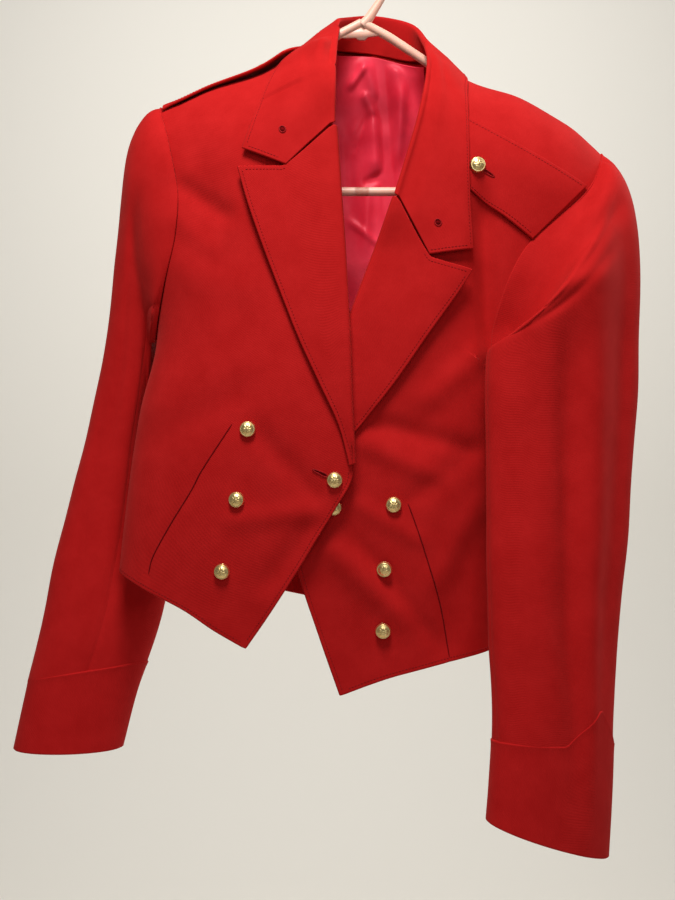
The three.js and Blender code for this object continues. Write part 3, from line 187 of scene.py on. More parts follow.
@dataclass(frozen=True)
class Torso:
    """The body's outline, depths, shoulder ridge and folds."""

    left: Curve = Curve(((-30, -228), (-100, -228), (-150, -223), (-226, -212), (-301, -205), (-371, -201),
                         (-440, -217), (-550, -232), (-650, -243), (-720, -250)))
    right: Curve = Curve(((-30, 266), (-100, 266), (-150, 262), (-226, 246), (-301, 206), (-371, 170),
                          (-440, 147), (-550, 131), (-650, 124), (-720, 120)))
    front_depth: Curve = Curve(((-30, 44), (-100, 56), (-150, 65), (-226, 74), (-301, 79), (-371, 82),
                                (-440, 82), (-550, 74), (-650, 62), (-720, 56)))
    back_depth: Curve = Curve(((-30, 56), (-100, 61), (-150, 66), (-226, 70), (-301, 69), (-371, 66),
                               (-440, 62), (-550, 56), (-650, 52), (-720, 50)))
    ridge: Curve = Curve(((-240, -172), (-215, -158), (-198, -148), (-177, -141), (-151, -131),
                          (-103, -115), (-75, -98), (-52, -82), (-30, -52), (7, -20), (45, -62),
                          (66, -98), (94, -119.5), (145, -138), (190, -163), (215, -184), (225, -193),
                          (250, -216)))
    front_folds: tuple[Fold, ...] = (
        Fold(-176, -228, -128, -262, 9, -6), Fold(-184, -256, -140, -292, 9, 3),
        Fold(104, -250, 112, -400, 12, -13), Fold(-190, -300, -110, -330, 20, 3),
        Fold(-40, -560, 36, -632, 14, 5), Fold(100, -330, 40, -470, 22, -4),
        Fold(-210, -470, -110, -420, 18, -3), Fold(95, -560, 70, -670, 18, -4),
        # Drag lines from the link button, and softer ones under the lapels
        Fold(-45, -520, -105, -455, 11, -3.0), Fold(-48, -530, -125, -540, 10, 2.4),
        Fold(-52, -545, -95, -600, 11, -3.0), Fold(-6, -468, 66, -500, 10, 3.4),
        Fold(6, -450, 90, -474, 10, -4.0), Fold(-10, -560, 60, -650, 9, -3.4),
        Fold(-20, -520, 50, -560, 9, 2.6), Fold(52, -432, 104, -384, 12, 4.4),
        Fold(-160, -190, -132, -330, 18, -3.0), Fold(-110, -220, -150, -420, 22, 3.0),
        Fold(104, -470, 40, -520, 12, -3.2), Fold(104, -520, 60, -600, 12, 3.2),
    )
    back_folds: tuple[Fold, ...] = (
        Fold(-150, -260, -60, -420, 24, -6), Fold(150, -300, 30, -440, 24, -6),
        Fold(-30, -120, -40, -330, 26, 5), Fold(-160, -470, -140, -610, 20, -4),
        Fold(70, -500, 60, -640, 22, -4), Fold(-120, -150, 60, -160, 12, -2),
        Fold(-100, -480, -90, -600, 14, 2), Fold(0, -470, 10, -620, 16, 2.4),
        Fold(120, -240, 150, -330, 12, -2.5), Fold(-60, -250, 20, -340, 14, -2.0),
    )

    def fullness(self, x: Array, z: Array) -> Array:
        """How full the section is at x: a squared-off ellipse, 1 in the middle and 0 at the sides."""
        left, right = self.left(z), self.right(z)
        p = np.abs((x - (left + right) / 2) / ((right - left) / 2))
        return np.maximum(1 - np.minimum(p, 1) ** SQUARENESS, 0) ** (1 / SQUARENESS)

    def below_ridge(self, x: Array, z: Array, height: float) -> Array:
        """A quarter circle from 0 on the shoulder ridge to 1 at the given height below it."""
        q = np.clip((self.ridge(x) - z) / height, 0, 1)
        return np.sqrt(np.maximum(1 - (1 - q) ** 2, 0))

    def front(self, x: Array, z: Array) -> Array:
        """y of the right front's middle surface: full depth times both fullnesses, plus the folds."""
        full = self.fullness(x, z) * self.below_ridge(x, z, RIDGE_FRONT)
        return -full * (self.front_depth(z) + sum(fold(x, z) for fold in self.front_folds))

    def back(self, x: Array, z: Array) -> Array:
        """y of the backs' middle surface."""
        full = self.fullness(x, z) * self.below_ridge(x, z, RIDGE_BACK)
        return full * (self.back_depth(z) + sum(fold(x, z) for fold in self.back_folds))

    def left_front(self, x: Array, z: Array) -> Array:
        """y of the left front, which lies behind the right one where they overlap."""
        return self.front(x, z) + OVERLAP_STEP * ease((80 - x) / 80) * ease((-240 - z) / 60)

    def shoulder_top(self, x: Array, y: Array) -> Array:
        """Height of the shoulder at a place in plan, from the quarter circle turned round."""
        height = np.where(y < 0, RIDGE_FRONT, RIDGE_BACK)
        z = self.ridge(x) - 12
        depth = np.where(y < 0, self.front_depth(z), self.back_depth(z)) * self.fullness(x, z)
        share = np.clip(np.abs(y) / depth, 0, 0.97)
        return self.ridge(x) - height * (1 - np.sqrt(1 - share * share))


TORSO = Torso()


def outward(face: Surface, x: Array, z: Array, away: Array) -> Array:
    """Unit normals of a face given as y over x and z, from its slopes over 3 mm.

    Args:
        face: the surface.
        x: places across.
        z: heights.
        away: -1 on a front, 1 on a back.

    Returns:
        Normals that point out of the jacket.
    """
    step = 1.5
    slope_x = (face(x + step, z) - face(x - step, z)) / (2 * step)
    slope_z = (face(x, z + step) - face(x, z - step)) / (2 * step)
    return unit(stack(-slope_x * away, away, -slope_z * away))


def ripple(points: Array, seed: int, height: float, wave: float) -> Array:
    """Small uneven swell of hung cloth: a sum of twelve sine waves in seeded directions.

    Args:
        points: places on the cloth.
        seed: which set of waves.
        height: rough size of the swell.
        wave: middle wavelength.

    Returns:
        Heights at the points.
    """
    rng = np.random.default_rng(seed)
    directions = unit(rng.normal(size=(12, 3)) * np.array([1.0, 0.7, 0.6]))
    lengths = wave * rng.uniform(0.6, 1.7, 12)
    phases = rng.uniform(0, 2 * np.pi, 12)
    angle = 2 * np.pi * (points @ directions.T) / lengths + phases
    return height * np.sin(angle).sum(-1) / np.sqrt(12)


@dataclass
class Grid:
    """A sheet's middle surface: points by row and column. A closed one wraps round its columns."""

    points: Array
    closed: bool = False

    def normals(self) -> Array:
        """Unit normals: the cross product of the slopes along the columns and along the rows."""
        across = np.gradient(self.points, axis=1)
        if self.closed:
            across = (np.roll(self.points, -1, 1) - np.roll(self.points, 1, 1)) / 2
        return unit(np.cross(across, np.gradient(self.points, axis=0)))

    def facing(self, inside: Array) -> "Grid":
        """The same grid with its normals turned away from a point or a row of points inside."""
        if (self.normals() * (self.points - inside)).sum() < 0:
            return Grid(self.points[:, ::-1].copy(), self.closed)
        return self

    def moved(self, height: Array) -> "Grid":
        """The grid pushed out along its normals."""
        return Grid(self.points + self.normals() * np.asarray(height)[..., None], self.closed)

    def depth(self, border: Border) -> Array:
        """Distance along the surface from one border to each point."""
        upright = border in (Border.TOP, Border.BOTTOM)
        points = self.points if upright else self.points.swapaxes(0, 1)
        steps = np.linalg.norm(np.diff(points, axis=0), axis=-1)
        run = np.vstack([np.zeros((1, steps.shape[1])), np.cumsum(steps, 0)])
        if border in (Border.BOTTOM, Border.LAST):
            run = run[-1:] - run
        return run if upright else run.T

    def pressed(self, borders: Sequence[Border], height: float, width: float) -> "Grid":
        """The grid with a bell-shaped dip or welt along some borders.

        Args:
            borders: which borders.
            height: height at the border, below 0 for a dip.
            width: distance over which it fades.

        Returns:
            The changed grid.
        """
        rise = sum(np.exp(-((self.depth(border) / width) ** 2)) for border in borders)
        return self.moved(height * np.minimum(rise, 1))

    def tight(self) -> "Grid":
        """The grid with three more lines close inside each border, so that its rim shades cleanly."""
        steps = ((0.6, 0.2), (1.4, 0.45), (2.6, 0.7))
        points = self.points
        for axis in (0,) if self.closed else (0, 1):
            p = np.moveaxis(points, axis, 0)
            ends = []
            for first, second in ((p[0], p[1]), (p[-1], p[-2])):
                reach = np.maximum(np.linalg.norm(second - first, axis=-1, keepdims=True), 1e-6)
                ends.append([first + (second - first) * np.minimum(d / reach, cap) for d, cap in steps])
            p = np.concatenate([p[:1], ends[0], p[1:-1], ends[1][::-1], p[-1:]])
            points = np.moveaxis(p, 0, axis)
        return Grid(points, self.closed)

    def nearest(self, x: float, z: float) -> tuple[Array, Array]:
        """Point and normal of the face that the viewer sees nearest to a place in front view."""
        normals = self.normals()
        away = (self.points[..., 0] - x) ** 2 + (self.points[..., 2] - z) ** 2
        away = away + np.where(normals[..., 1] < -0.15, 0, 1e6)
        at = np.unravel_index(np.argmin(away), away.shape)
        return self.points[at], normals[at]

    def line(self, border: Border, inset: float, start: float = 0.0,
             end: float = 0.0) -> tuple[Array, Array]:
        """A line on the surface at a distance inside a border.

        Args:
            border: the border that it follows.
            inset: distance from it.
            start: length left off at its beginning.
            end: length left off at its end.

        Returns:
            Its points, and the surface normals there.
        """
        depth = self.depth(border)
        points, normals = self.points, self.normals()
        if border in (Border.TOP, Border.BOTTOM):
            depth, points, normals = depth.T, points.swapaxes(0, 1), normals.swapaxes(0, 1)
        if border in (Border.BOTTOM, Border.LAST):
            depth, points, normals = depth[:, ::-1], points[:, ::-1], normals[:, ::-1]
        i = np.clip((depth < inset).sum(1), 1, depth.shape[1] - 1)
        row = np.arange(len(depth))
        low, high = depth[row, i - 1], depth[row, i]
        t = np.clip((inset - low) / np.maximum(high - low, 1e-6), 0, 1)[:, None]
        path = mix(points[row, i - 1], points[row, i], t)
        normal = unit(mix(normals[row, i - 1], normals[row, i], t))
        run = run_of(path)
        keep = (run >= start) & (run <= run[-1] - end)
        return path[keep], normal[keep]


def make_mesh(name: str, points: Array, faces: Sequence[Array], uv: Sequence[Array] = (),
              parts: Optional[Array] = None) -> bpy.types.Object:
    """An object from arrays of points and faces, smooth shaded, with its place in its mesh.

    Args:
        name: the piece's name.
        points: points in millimetres.
        faces: arrays of corner numbers, one array for each number of corners.
        uv: for each array of faces, the flat position of each corner in metres.
        parts: material number of each face.

    Returns:
        The new object.
    """
    mesh = bpy.data.meshes.new(name)
    corners = np.concatenate([f.ravel() for f in faces])
    totals = np.concatenate([np.full(len(f), f.shape[1]) for f in faces])
    mesh.vertices.add(len(points))
    mesh.vertices.foreach_set("co", (np.asarray(points, float) * MM).ravel())
    mesh.loops.add(len(corners))
    mesh.loops.foreach_set("vertex_index", corners.astype(np.int32))
    mesh.polygons.add(len(totals))
    mesh.polygons.foreach_set("loop_start", (np.cumsum(totals) - totals).astype(np.int32))
    mesh.update(calc_edges=True)
    mesh.polygons.foreach_set("use_smooth", np.ones(len(totals), bool))
    if parts is not None:
        mesh.polygons.foreach_set("material_index", parts.astype(np.int32))
    if len(uv):
        layer = mesh.uv_layers.new(name="flat")
        layer.data.foreach_set("uv", np.concatenate([u.reshape(-1, 2) for u in uv]).ravel())
    mesh.validate()
    obj = bpy.data.objects.new(name, mesh)
    bpy.context.scene.collection.objects.link(obj)
    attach(obj, "root")
    return obj


def cells(rows: int, columns: int, wrap: bool) -> Array:
    """Corner numbers of the quads of a grid, each turned like the grid's normals."""
    j, i = np.meshgrid(np.arange(rows - 1), np.arange(columns if wrap else columns - 1), indexing="ij")
    k = (i + 1) % columns
    corners = [j * columns + i, j * columns + k, (j + 1) * columns + k, (j + 1) * columns + i]
    return np.stack(corners, -1).reshape(-1, 4)


def shell(name: str, grid: Grid, thickness: float, facing: float = -1.0,
          plain: float = 0.0) -> bpy.types.Object:
    """A cloth wall: one layer half the thickness out along the normals, one in, and a rounded rim.

    Args:
        name: the piece's name.
        grid: its middle surface.
        thickness: its wall.
        facing: width of the band inside the rim that keeps the outer cloth on the inner layer. Below
            0 the whole inner layer keeps it.
        plain: share of the rows, from the top, whose inner layer also keeps it.

    Returns:
        The piece. Its second material, where facing is used, is that of the inner layer.
    """
    grid = grid.tight()
    p, n = grid.points, grid.normals()
    rows, columns = p.shape[:2]
    count = rows * columns
    number = np.arange(count).reshape(rows, columns)
    inner_quads = cells(rows, columns, grid.closed)
    if grid.closed:
        chains = [(number[0], number[1]), (number[-1][::-1], number[-2][::-1])]
    else:
        chain = np.concatenate([number[0, :-1], number[:-1, -1], number[-1, :0:-1], number[:0:-1, 0]])
        beside = number[np.clip(chain // columns, 1, rows - 2), np.clip(chain % columns, 1, columns - 2)]
        chains = [(chain, beside)]
    flat_p, flat_n = p.reshape(-1, 3), n.reshape(-1, 3)
    points = [flat_p + flat_n * thickness / 2, flat_p - flat_n * thickness / 2]
    run_x = grid.depth(Border.FIRST).reshape(-1) * MM
    run_z = grid.depth(Border.TOP).reshape(-1) * MM
    flat = np.stack([run_x, run_z], -1)
    corner_uv = flat[inner_quads]
    if grid.closed:
        wrap = (inner_quads[:, 1] % columns) == 0
        last = np.linalg.norm(p[:, 0] - p[:, -1], axis=-1) * MM + run_x.reshape(rows, columns)[:, -1]
        corner_uv[wrap, 1, 0] = last[inner_quads[wrap, 1] // columns]
        corner_uv[wrap, 2, 0] = last[inner_quads[wrap, 2] // columns]
    quads = [inner_quads, inner_quads[:, [0, 3, 2, 1]] + count]
    uvs = [corner_uv, corner_uv[:, [0, 3, 2, 1]]]
    start = 2 * count
    for chain, beside in chains:
        out = flat_p[chain] - flat_p[beside]
        out -= flat_n[chain] * (out * flat_n[chain]).sum(-1, keepdims=True)
        points.append(flat_p[chain] + unit(out) * thickness * 0.42)
        middle = start + np.arange(len(chain))
        start += len(chain)
        after, middle_after = np.roll(chain, -1), np.roll(middle, -1)
        quads += [np.stack([after, chain, middle, middle_after], -1),
                  np.stack([middle_after, middle, chain + count, after + count], -1)]
        uvs += [flat[np.stack([after, chain, chain, after], -1)]] * 2
    parts = np.zeros(sum(len(q) for q in quads))
    if facing >= 0:
        deep = np.minimum(grid.depth(Border.TOP), grid.depth(Border.BOTTOM))
        if not grid.closed:
            deep = np.minimum(deep, np.minimum(grid.depth(Border.FIRST), grid.depth(Border.LAST)))
        deep = np.where(np.arange(rows)[:, None] < plain * rows, 0, deep)
        parts[len(inner_quads):2 * len(inner_quads)] = deep.reshape(-1)[inner_quads].mean(1) > facing
    return make_mesh(name, np.concatenate(points), [np.concatenate(quads)], [np.concatenate(uvs)], parts)


def tube(name: str, paths: Sequence[Array], radii: Sequence[Array], sides: int,
         ups: Optional[Sequence[Array]] = None, flatten: float = 1.0) -> bpy.types.Object:
    """Round or flattened tubes along paths, in one mesh, with closed ends.

    Args:
        name: the piece's name.
        paths: points of each tube's middle line.
        radii: radius at each of those points.
        sides: corners of the section.
        ups: direction of the section's height at each point.
        flatten: height of the section as a share of its width.

    Returns:
        The piece.
    """
    points, quads, caps, start = [], [], [], 0
    angle = 2 * np.pi * np.arange(sides) / sides
    for k, path in enumerate(paths):
        along = unit(np.gradient(path, axis=0))
        up = ups[k] if ups is not None else np.tile([0.0, 1.0, 0.0], (len(path), 1))
        up = unit(up - along * (up * along).sum(-1, keepdims=True))
        side = np.cross(along, up)
        ring = (side[:, None] * np.cos(angle)[None, :, None]
                + up[:, None] * np.sin(angle)[None, :, None] * flatten)
        points.append((path[:, None] + ring * np.asarray(radii[k])[:, None, None]).reshape(-1, 3))
        quads.append(cells(len(path), sides, True) + start)
        caps.append(np.arange(sides)[::-1] + start)
        caps.append(np.arange(sides) + start + (len(path) - 1) * sides)
        start += len(path) * sides
    return make_mesh(name, np.concatenate(points), [np.concatenate(quads), np.stack(caps)])


# Finishes

class Recipe:
    """A material in the making, with the steps that the finishes share."""

    def __init__(self, name: str, **values: object) -> None:
        """Starts a material, with constant values set on its shader's own sockets."""
        self.material = bpy.data.materials.new(name)
        self.material.use_nodes = True
        self.tree = self.material.node_tree
        self.shader = self.tree.nodes["Principled BSDF"]
        for key, value in values.items():
            self.shader.inputs[key.replace("_", " ")].default_value = value

    def node(self, kind: str, **values: object) -> bpy.types.Node:
        """A shader node with some of its settings and unlinked inputs given.

        Args:
            kind: the node's type, without its ShaderNode prefix.
            values: settings by attribute name, or inputs by name with spaces written as _.

        Returns:
            The node.
        """
        made = self.tree.nodes.new("ShaderNode" + kind)
        for key, value in values.items():
            if hasattr(made, key):
                setattr(made, key, value)
            else:
                made.inputs[key.replace("_", " ")].default_value = value
        return made

    def link(self, source: bpy.types.Node, target: bpy.types.Node, entry: str | int) -> None:
        """Links a node's factor, or else its first output, to an input."""
        self.tree.links.new(source.outputs.get("Fac") or source.outputs[0], target.inputs[entry])

    def texture(self, kind: str, space: str, **values: object) -> bpy.types.Node:
        """A texture node read in Object or UV coordinates."""
        place = self.tree.nodes.get("Texture Coordinate") or self.node("TexCoord")
        made = self.node("Tex" + kind, **values)
        self.tree.links.new(place.outputs[space], made.inputs["Vector"])
        return made

    def total(self, first: bpy.types.Node, share: float, second: bpy.types.Node) -> bpy.types.Node:
        """A share of the first texture plus the second."""
        made = self.node("Math", operation="MULTIPLY_ADD")
        made.inputs[1].default_value = share
        self.link(first, made, 0)
        self.link(second, made, 2)
        return made

    def shades(self, source: bpy.types.Node, dark: Shade, light: Shade, low: float = 0.0,
               high: float = 1.0) -> None:
        """Mixes two shades by a texture: dark up to low, light from high."""
        ramp = self.node("ValToRGB")
        for element, position, shade in zip(ramp.color_ramp.elements, (low, high), (dark, light)):
            element.position = position
            element.color = (*shade, 1)
        self.link(source, ramp, "Fac")
        self.link(ramp, self.shader, "Base Color")

    def gloss(self, source: bpy.types.Node, low: float, high: float) -> None:
        """Roughness from low to high by a texture."""
        rough = self.node("MapRange", To_Min=low, To_Max=high)
        self.link(source, rough, "Value")
        self.link(rough, self.shader, "Roughness")

    def relief(self, source: bpy.types.Node, strength: float, distance: float) -> None:
        """Raises the surface by a texture."""
        bump = self.node("Bump", Strength=strength, Distance=distance)
        self.link(source, bump, "Height")
        self.link(bump, self.shader, "Normal")


@dataclass(frozen=True)
class Wool:
    """Fine matt twill: slightly uneven red, ribs across the weave and a short nap."""

    name: str = "scarlet_twill"
    light: Shade = (0.54, 0.013, 0.013)
    dark: Shade = (0.45, 0.008, 0.008)
    pitch: float = 0.0011
    rough: float = 0.78

    def material(self) -> bpy.types.Material:
        """Builds the material: noise mixes two reds, and waves with noise raise the ribs."""
        made = Recipe(self.name, Roughness=self.rough, Sheen_Weight=0.12, Sheen_Roughness=0.5,
                      Sheen_Tint=(1.0, 0.2, 0.17, 1), Specular_IOR_Level=0.05)
        cloud = made.texture("Noise", "Object", Scale=38.0, Detail=5.0, Roughness=0.62)
        speck = made.texture("Noise", "UV", Scale=900.0, Detail=3.0, Roughness=0.7)
        ribs = made.texture("Wave", "UV", bands_direction="DIAGONAL", Scale=0.05 / self.pitch * 6.28,
                            Distortion=1.2, Detail=1.0, Detail_Scale=2.0)
        made.shades(made.total(speck, 0.55, cloud), self.dark, self.light, 0.50, 1.02)
        made.relief(made.total(ribs, 0.5, speck), 0.28, 0.0005)
        return made.material


@dataclass(frozen=True)
class Satin:
    """Crimson satin lining: smooth, glossy, with a faint warp."""

    name: str = "crimson_satin"
    light: Shade = (0.95, 0.050, 0.095)
    dark: Shade = (0.78, 0.022, 0.050)

    def material(self) -> bpy.types.Material:
        """Builds the material: noise mixes two crimsons, and a fine wave stands for the warp."""
        made = Recipe(self.name, Roughness=0.42, Sheen_Weight=0.3, Sheen_Roughness=0.3,
                      Sheen_Tint=(1.0, 0.25, 0.35, 1), Specular_IOR_Level=0.5,
                      Specular_Tint=(1.0, 0.35, 0.42, 1))
        cloud = made.texture("Noise", "Object", Scale=26.0, Detail=3.0)
        warp = made.texture("Wave", "UV", Scale=260.0, Distortion=0.6, Detail=1.0)
        made.shades(cloud, self.dark, self.light, 0.35, 0.7)
        made.relief(warp, 0.10, 0.0002)
        return made.material


@dataclass(frozen=True)
class Gilt:
    """Polished gilt brass, a little tarnished in patches."""

    name: str = "gilt_brass"
    light: Shade = (1.0, 0.80, 0.38)
    dark: Shade = (0.92, 0.64, 0.25)

    def material(self) -> bpy.types.Material:
        """Builds the material: noise mixes bright and dull metal, and drives the roughness."""
        made = Recipe(self.name, Metallic=1.0, Roughness=0.24)
        tarnish = made.texture("Noise", "Object", Scale=320.0, Detail=4.0, Roughness=0.6)
        made.shades(tarnish, self.dark, self.light, 0.34, 0.62)
        made.gloss(tarnish, 0.44, 0.28)
        made.relief(tarnish, 0.12, 0.0002)
        return made.material


@dataclass(frozen=True)
class Plastic:
    """Moulded hanger plastic, with faint flow marks and light scuffs."""

    name: str = "salmon_plastic"
    light: Shade = (0.94, 0.56, 0.43)
    dark: Shade = (0.90, 0.49, 0.37)

    def material(self) -> bpy.types.Material:
        """Builds the material: stretched noise mixes two shades and scuffs the gloss."""
        made = Recipe(self.name, Roughness=0.36, Specular_IOR_Level=0.5, Subsurface_Weight=0.12,
                      Subsurface_Scale=0.004)
        flow = made.texture("Noise", "Object", Scale=60.0, Detail=4.0, Distortion=0.4)
        made.shades(flow, self.dark, self.light, 0.3, 0.7)
        made.gloss(flow, 0.28, 0.44)
        made.relief(flow, 0.08, 0.0004)
        return made.material


@dataclass(frozen=True)
class Thread:
    """Sewing thread, two strands twisted together, in reds darker than the wool's: that darkness is painted
    shade of the stitches.
    """

    name: str = "scarlet_thread"
    # Painted shade: both reds are darker than the wool, and the darker one lies in the twist's grooves
    light: Shade = (0.42, 0.006, 0.008)
    dark: Shade = (0.24, 0.002, 0.003)

    def material(self) -> bpy.types.Material:
        """Builds the material: a wave along the thread raises the twist and mixes two reds, the darker one
        painted shade in the grooves between the strands.
        """
        made = Recipe(self.name, Roughness=0.7, Specular_IOR_Level=0.2)
        twist = made.texture("Wave", "Object", bands_direction="DIAGONAL", Scale=420.0, Distortion=1.5,
                             Detail=2.0)
        made.shades(twist, self.dark, self.light)
        made.relief(twist, 0.4, 0.0002)
        return made.material


@dataclass
class Finishes:
    """The materials of the jacket and its hanger."""

    wool: bpy.types.Material = field(default_factory=lambda: Wool().material())
    # Painted shade: the very dark wool of the strips in seam dips, under the strap edges and in the bottoms
    # of slits
    seam: bpy.types.Material = field(default_factory=lambda: Wool(
        "seam_shadow", light=(0.20, 0.002, 0.004), dark=(0.12, 0.001, 0.002), rough=0.9).material())
    satin: bpy.types.Material = field(default_factory=lambda: Satin().material())
    gilt: bpy.types.Material = field(default_factory=lambda: Gilt().material())
    plastic: bpy.types.Material = field(default_factory=lambda: Plastic().material())
    thread: bpy.types.Material = field(default_factory=lambda: Thread().material())


def dress(obj: bpy.types.Object, slot: Optional[str], *materials: bpy.types.Material) -> bpy.types.Object:
    """Gives a piece its materials."""
    for material in materials:
        obj.data.materials.append(material)
    log.info("%s: %d faces", obj.name, len(obj.data.polygons))
    return obj


def cloth(name: str, cad_node: str, grid: Grid, thickness: float, rests_on: Sequence[str], slot: str,
          *materials: bpy.types.Material, facing: float = -1.0, plain: float = 0.0) -> None:
    """A sheet of cloth that hangs, in place of a CAD node.

    Args:
        name: the piece's name.
        cad_node: the node that it replaces.
        grid: its middle surface.
        thickness: its wall.
        rests_on: not used.
        slot: not used.
        materials: the outer cloth, then that of the inner layer.
        facing: see shell.
        plain: see shell.
    """
    obj = dress(shell(name, grid, thickness, facing, plain), slot, *materials)
    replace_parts(obj, cad_node)


# Sewing

@dataclass
class Needlework:
    """Rows of topstitching, welts over darts, worked holes and buttonholes."""

    finishes: Finishes
    pitch: float = 3.1
    stitch: float = 2.3
    thick: float = 0.33

    def topstitch(self, name: str, lines: Sequence[tuple[Array, Array]], lift: float) -> bpy.types.Object:
        """Stitches along lines on a surface: short rounded threads that dive at both ends.

        Args:
            name: the piece's name.
            lines: points and normals of each line.
            lift: height of the cloth's outer face above the line.

        Returns:
            The piece.
        """
        paths, radii, ups = [], [], []
        share = np.array([0.0, 0.12, 0.35, 0.65, 0.88, 1.0])
        rise = np.array([-0.35, 0.0, 0.12, 0.12, 0.0, -0.35])
        for path, normal in lines:
            run = run_of(path)
            for begin in np.arange(0.4, run[-1] - self.stitch, self.pitch):
                at = begin + share * self.stitch
                up = unit(sample(normal, run, at))
                paths.append(sample(path, run, at) + up * (lift + rise[:, None]))
                radii.append(self.thick * np.array([0.5, 0.9, 1, 1, 0.9, 0.5]))
                ups.append(up)
        return dress(tube(name, paths, radii, 6, ups), "scarlet_wool", self.finishes.thread)

    def welt(self, name: str, lines: Sequence[tuple[Array, Array]], lift: float,
             width: float = 0.55) -> bpy.types.Object:
        """The closed edge of darts and seams: a thin strip in the dip, tapered over its ends, dark with
        painted shade.
        """
        paths, radii = [], []
        for path, normal in lines:
            row = np.arange(len(path))
            paths.append(path + normal * lift)
            radii.append(width * ease(np.minimum(row, row[::-1]) / 4 + 0.3))
        made = tube(name, paths, radii, 6, [normal for _, normal in lines], 0.45)
        return dress(made, "scarlet_wool", self.finishes.seam)

    def hole(self, name: str, point: Array, normal: Array, along: Array, length: float,
             width: float, eye: float) -> None:
        """A worked hole: a corded rim round a slit, wider at its eye, whose bottom is a dark sheet of
        painted shade.

        Args:
            name: first part of the pieces' names.
            point: its middle, on the cloth's outer face.
            normal: direction out of the cloth.
            along: direction from its tail to its eye.
            length: length of the slit.
            width: width of the slit's loop.
            eye: width of the loop at the eye.
        """
        count = 40
        normal = unit(np.asarray(normal, float))
        along = unit(np.asarray(along, float) - normal * np.dot(along, normal))
        side = np.cross(normal, along)
        turn = np.linspace(0, 2 * np.pi, count + 1)
        reach = np.cos(turn) * length / 2
        half = mix(width, eye, ease((reach / length + 0.1) / 0.5)) / 2
        loop = point + along * reach[:, None] + side * (np.sin(turn) * half)[:, None]
        beads = 0.62 + 0.12 * np.sin(turn * 26)
        rim = tube(name + "_rim", [loop + normal * 0.25], [beads], 8, [np.tile(normal, (count + 1, 1))])
        dress(rim, "scarlet_wool", self.finishes.thread)
        # The slit's bottom: a dark sheet of painted shade
        ring = point + along * (reach * 0.86)[:-1, None] + side * (np.sin(turn) * half * 0.7)[:-1, None]
        layers = np.concatenate([ring + normal * 0.12, ring - normal * 0.3])
        lids = np.stack([np.arange(count), (np.arange(count) + count)[::-1]])
        middle = make_mesh(name + "_slit", layers, [cells(2, count, True)[:, ::-1], lids])
        dress(middle, "scarlet_wool", self.finishes.seam)


# Body panels

@dataclass
class BodyHalf:
    """Half of the body: its corners and the curves of its borders in front view."""

    # Neck point, shoulder tip, underarm, then heights: the inner border at the underarm, the end of the
    # front edge, the side seam's hem, and the back seam's ends
    neck_x: float
    neck_z: float
    tip_x: float
    tip_z: float
    arm_z: float
    arm_x: float
    inner_arm_z: float
    edge_end_z: float
    side_hem_z: float
    seam_top_z: float
    seam_hem_z: float
    outline: Curve
    edge: Curve
    arm_front: Curve
    arm_back: Curve
    seam: Curve
    hem: Curve
    face: Surface

    def arm_height(self, turn: Array) -> Array:
        """Height on the armhole by its angle: half a cosine wave from the tip to the underarm."""
        return mix(self.tip_z, self.arm_z, (1 - np.cos(turn)) / 2)

    def seam_turn(self) -> float:
        """Angle at which the back seam meets the armhole."""
        return float(np.arccos(1 - 2 * (self.seam_top_z - self.tip_z) / (self.arm_z - self.tip_z)))


HEM_BACK = Curve(((-237, -590), (-128, -607), (-59, -620), (12, -637), (124, -662)))
NECK_BACK = Curve(((-52, -82), (-30, -78.5), (7, -78), (45, -89), (66, -98)))
CENTRE_BACK = Curve(((-78, 7), (-350, -28), (-619, -59)))
NECK_X = 7.0
CENTRE_HEM = -619.0

RIGHT = BodyHalf(
    neck_x=-52, neck_z=-82, tip_x=-198, tip_z=-148, arm_z=-371, arm_x=-201, inner_arm_z=-300,
    edge_end_z=-657, side_hem_z=-590, seam_top_z=-290, seam_hem_z=-607, outline=TORSO.left,
    edge=Curve(((-82, -52), (-112, -50), (-142, -43), (-176, -33.4), (-261, -27.4), (-348, -22.4),
                (-450, -18), (-489, -16), (-502, -16), (-527, -30), (-548, -43), (-583, -64),
                (-628, -93), (-657, -113))),
    arm_front=Curve(((-148, -198), (-188, -186), (-235, -177), (-275, -178.5), (-323, -190), (-371, -201))),
    arm_back=Curve(((-148, -198), (-188, -190), (-235, -184), (-290, -184), (-330, -190), (-371, -201))),
    seam=Curve(((-290, -184), (-330, -166), (-380, -148), (-450, -135), (-550, -130), (-607, -128))),
    hem=Curve(((-237, -590), (-205, -606), (-170, -623), (-142, -641), (-114, -657))),
    face=TORSO.front)
LEFT = BodyHalf(
    neck_x=66, neck_z=-98, tip_x=225, tip_z=-193, arm_z=-425, arm_x=152, inner_arm_z=-370,
    edge_end_z=-703, side_hem_z=-662, seam_top_z=-340, seam_hem_z=-637, outline=TORSO.right,
    edge=Curve(((-98, 66), (-132, 61), (-169, 52), (-243, 26.4), (-336, -7), (-430, -42), (-489, -64),
                (-511, -71), (-548, -71), (-592, -63), (-645, -46), (-703, -26))),
    arm_front=Curve(((-193, 225), (-235, 202), (-283, 149), (-312, 131), (-345, 121), (-378, 114),
                     (-402, 115), (-417, 124), (-425, 152))),
    arm_back=Curve(((-193, 225), (-235, 208), (-290, 190), (-340, 172), (-390, 158), (-425, 152))),
    seam=Curve(((-340, 172), (-375, 132), (-410, 102), (-460, 72), (-550, 34), (-637, 12))),
    hem=Curve(((-25, -703), (2, -693), (29, -684), (76, -672), (124, -662))),
    face=TORSO.left_front)
HALVES = {Side.RIGHT: RIGHT, Side.LEFT: LEFT}
TORSO_X = -30.0
DARTS = {
    Side.RIGHT: Curve(((-451, -124), (-495, -153), (-512, -162), (-545, -183), (-575, -200), (-590, -204))),
    Side.LEFT: Curve(((-524, 36), (-531, 39), (-575, 54), (-620, 67), (-668, 76))),
}


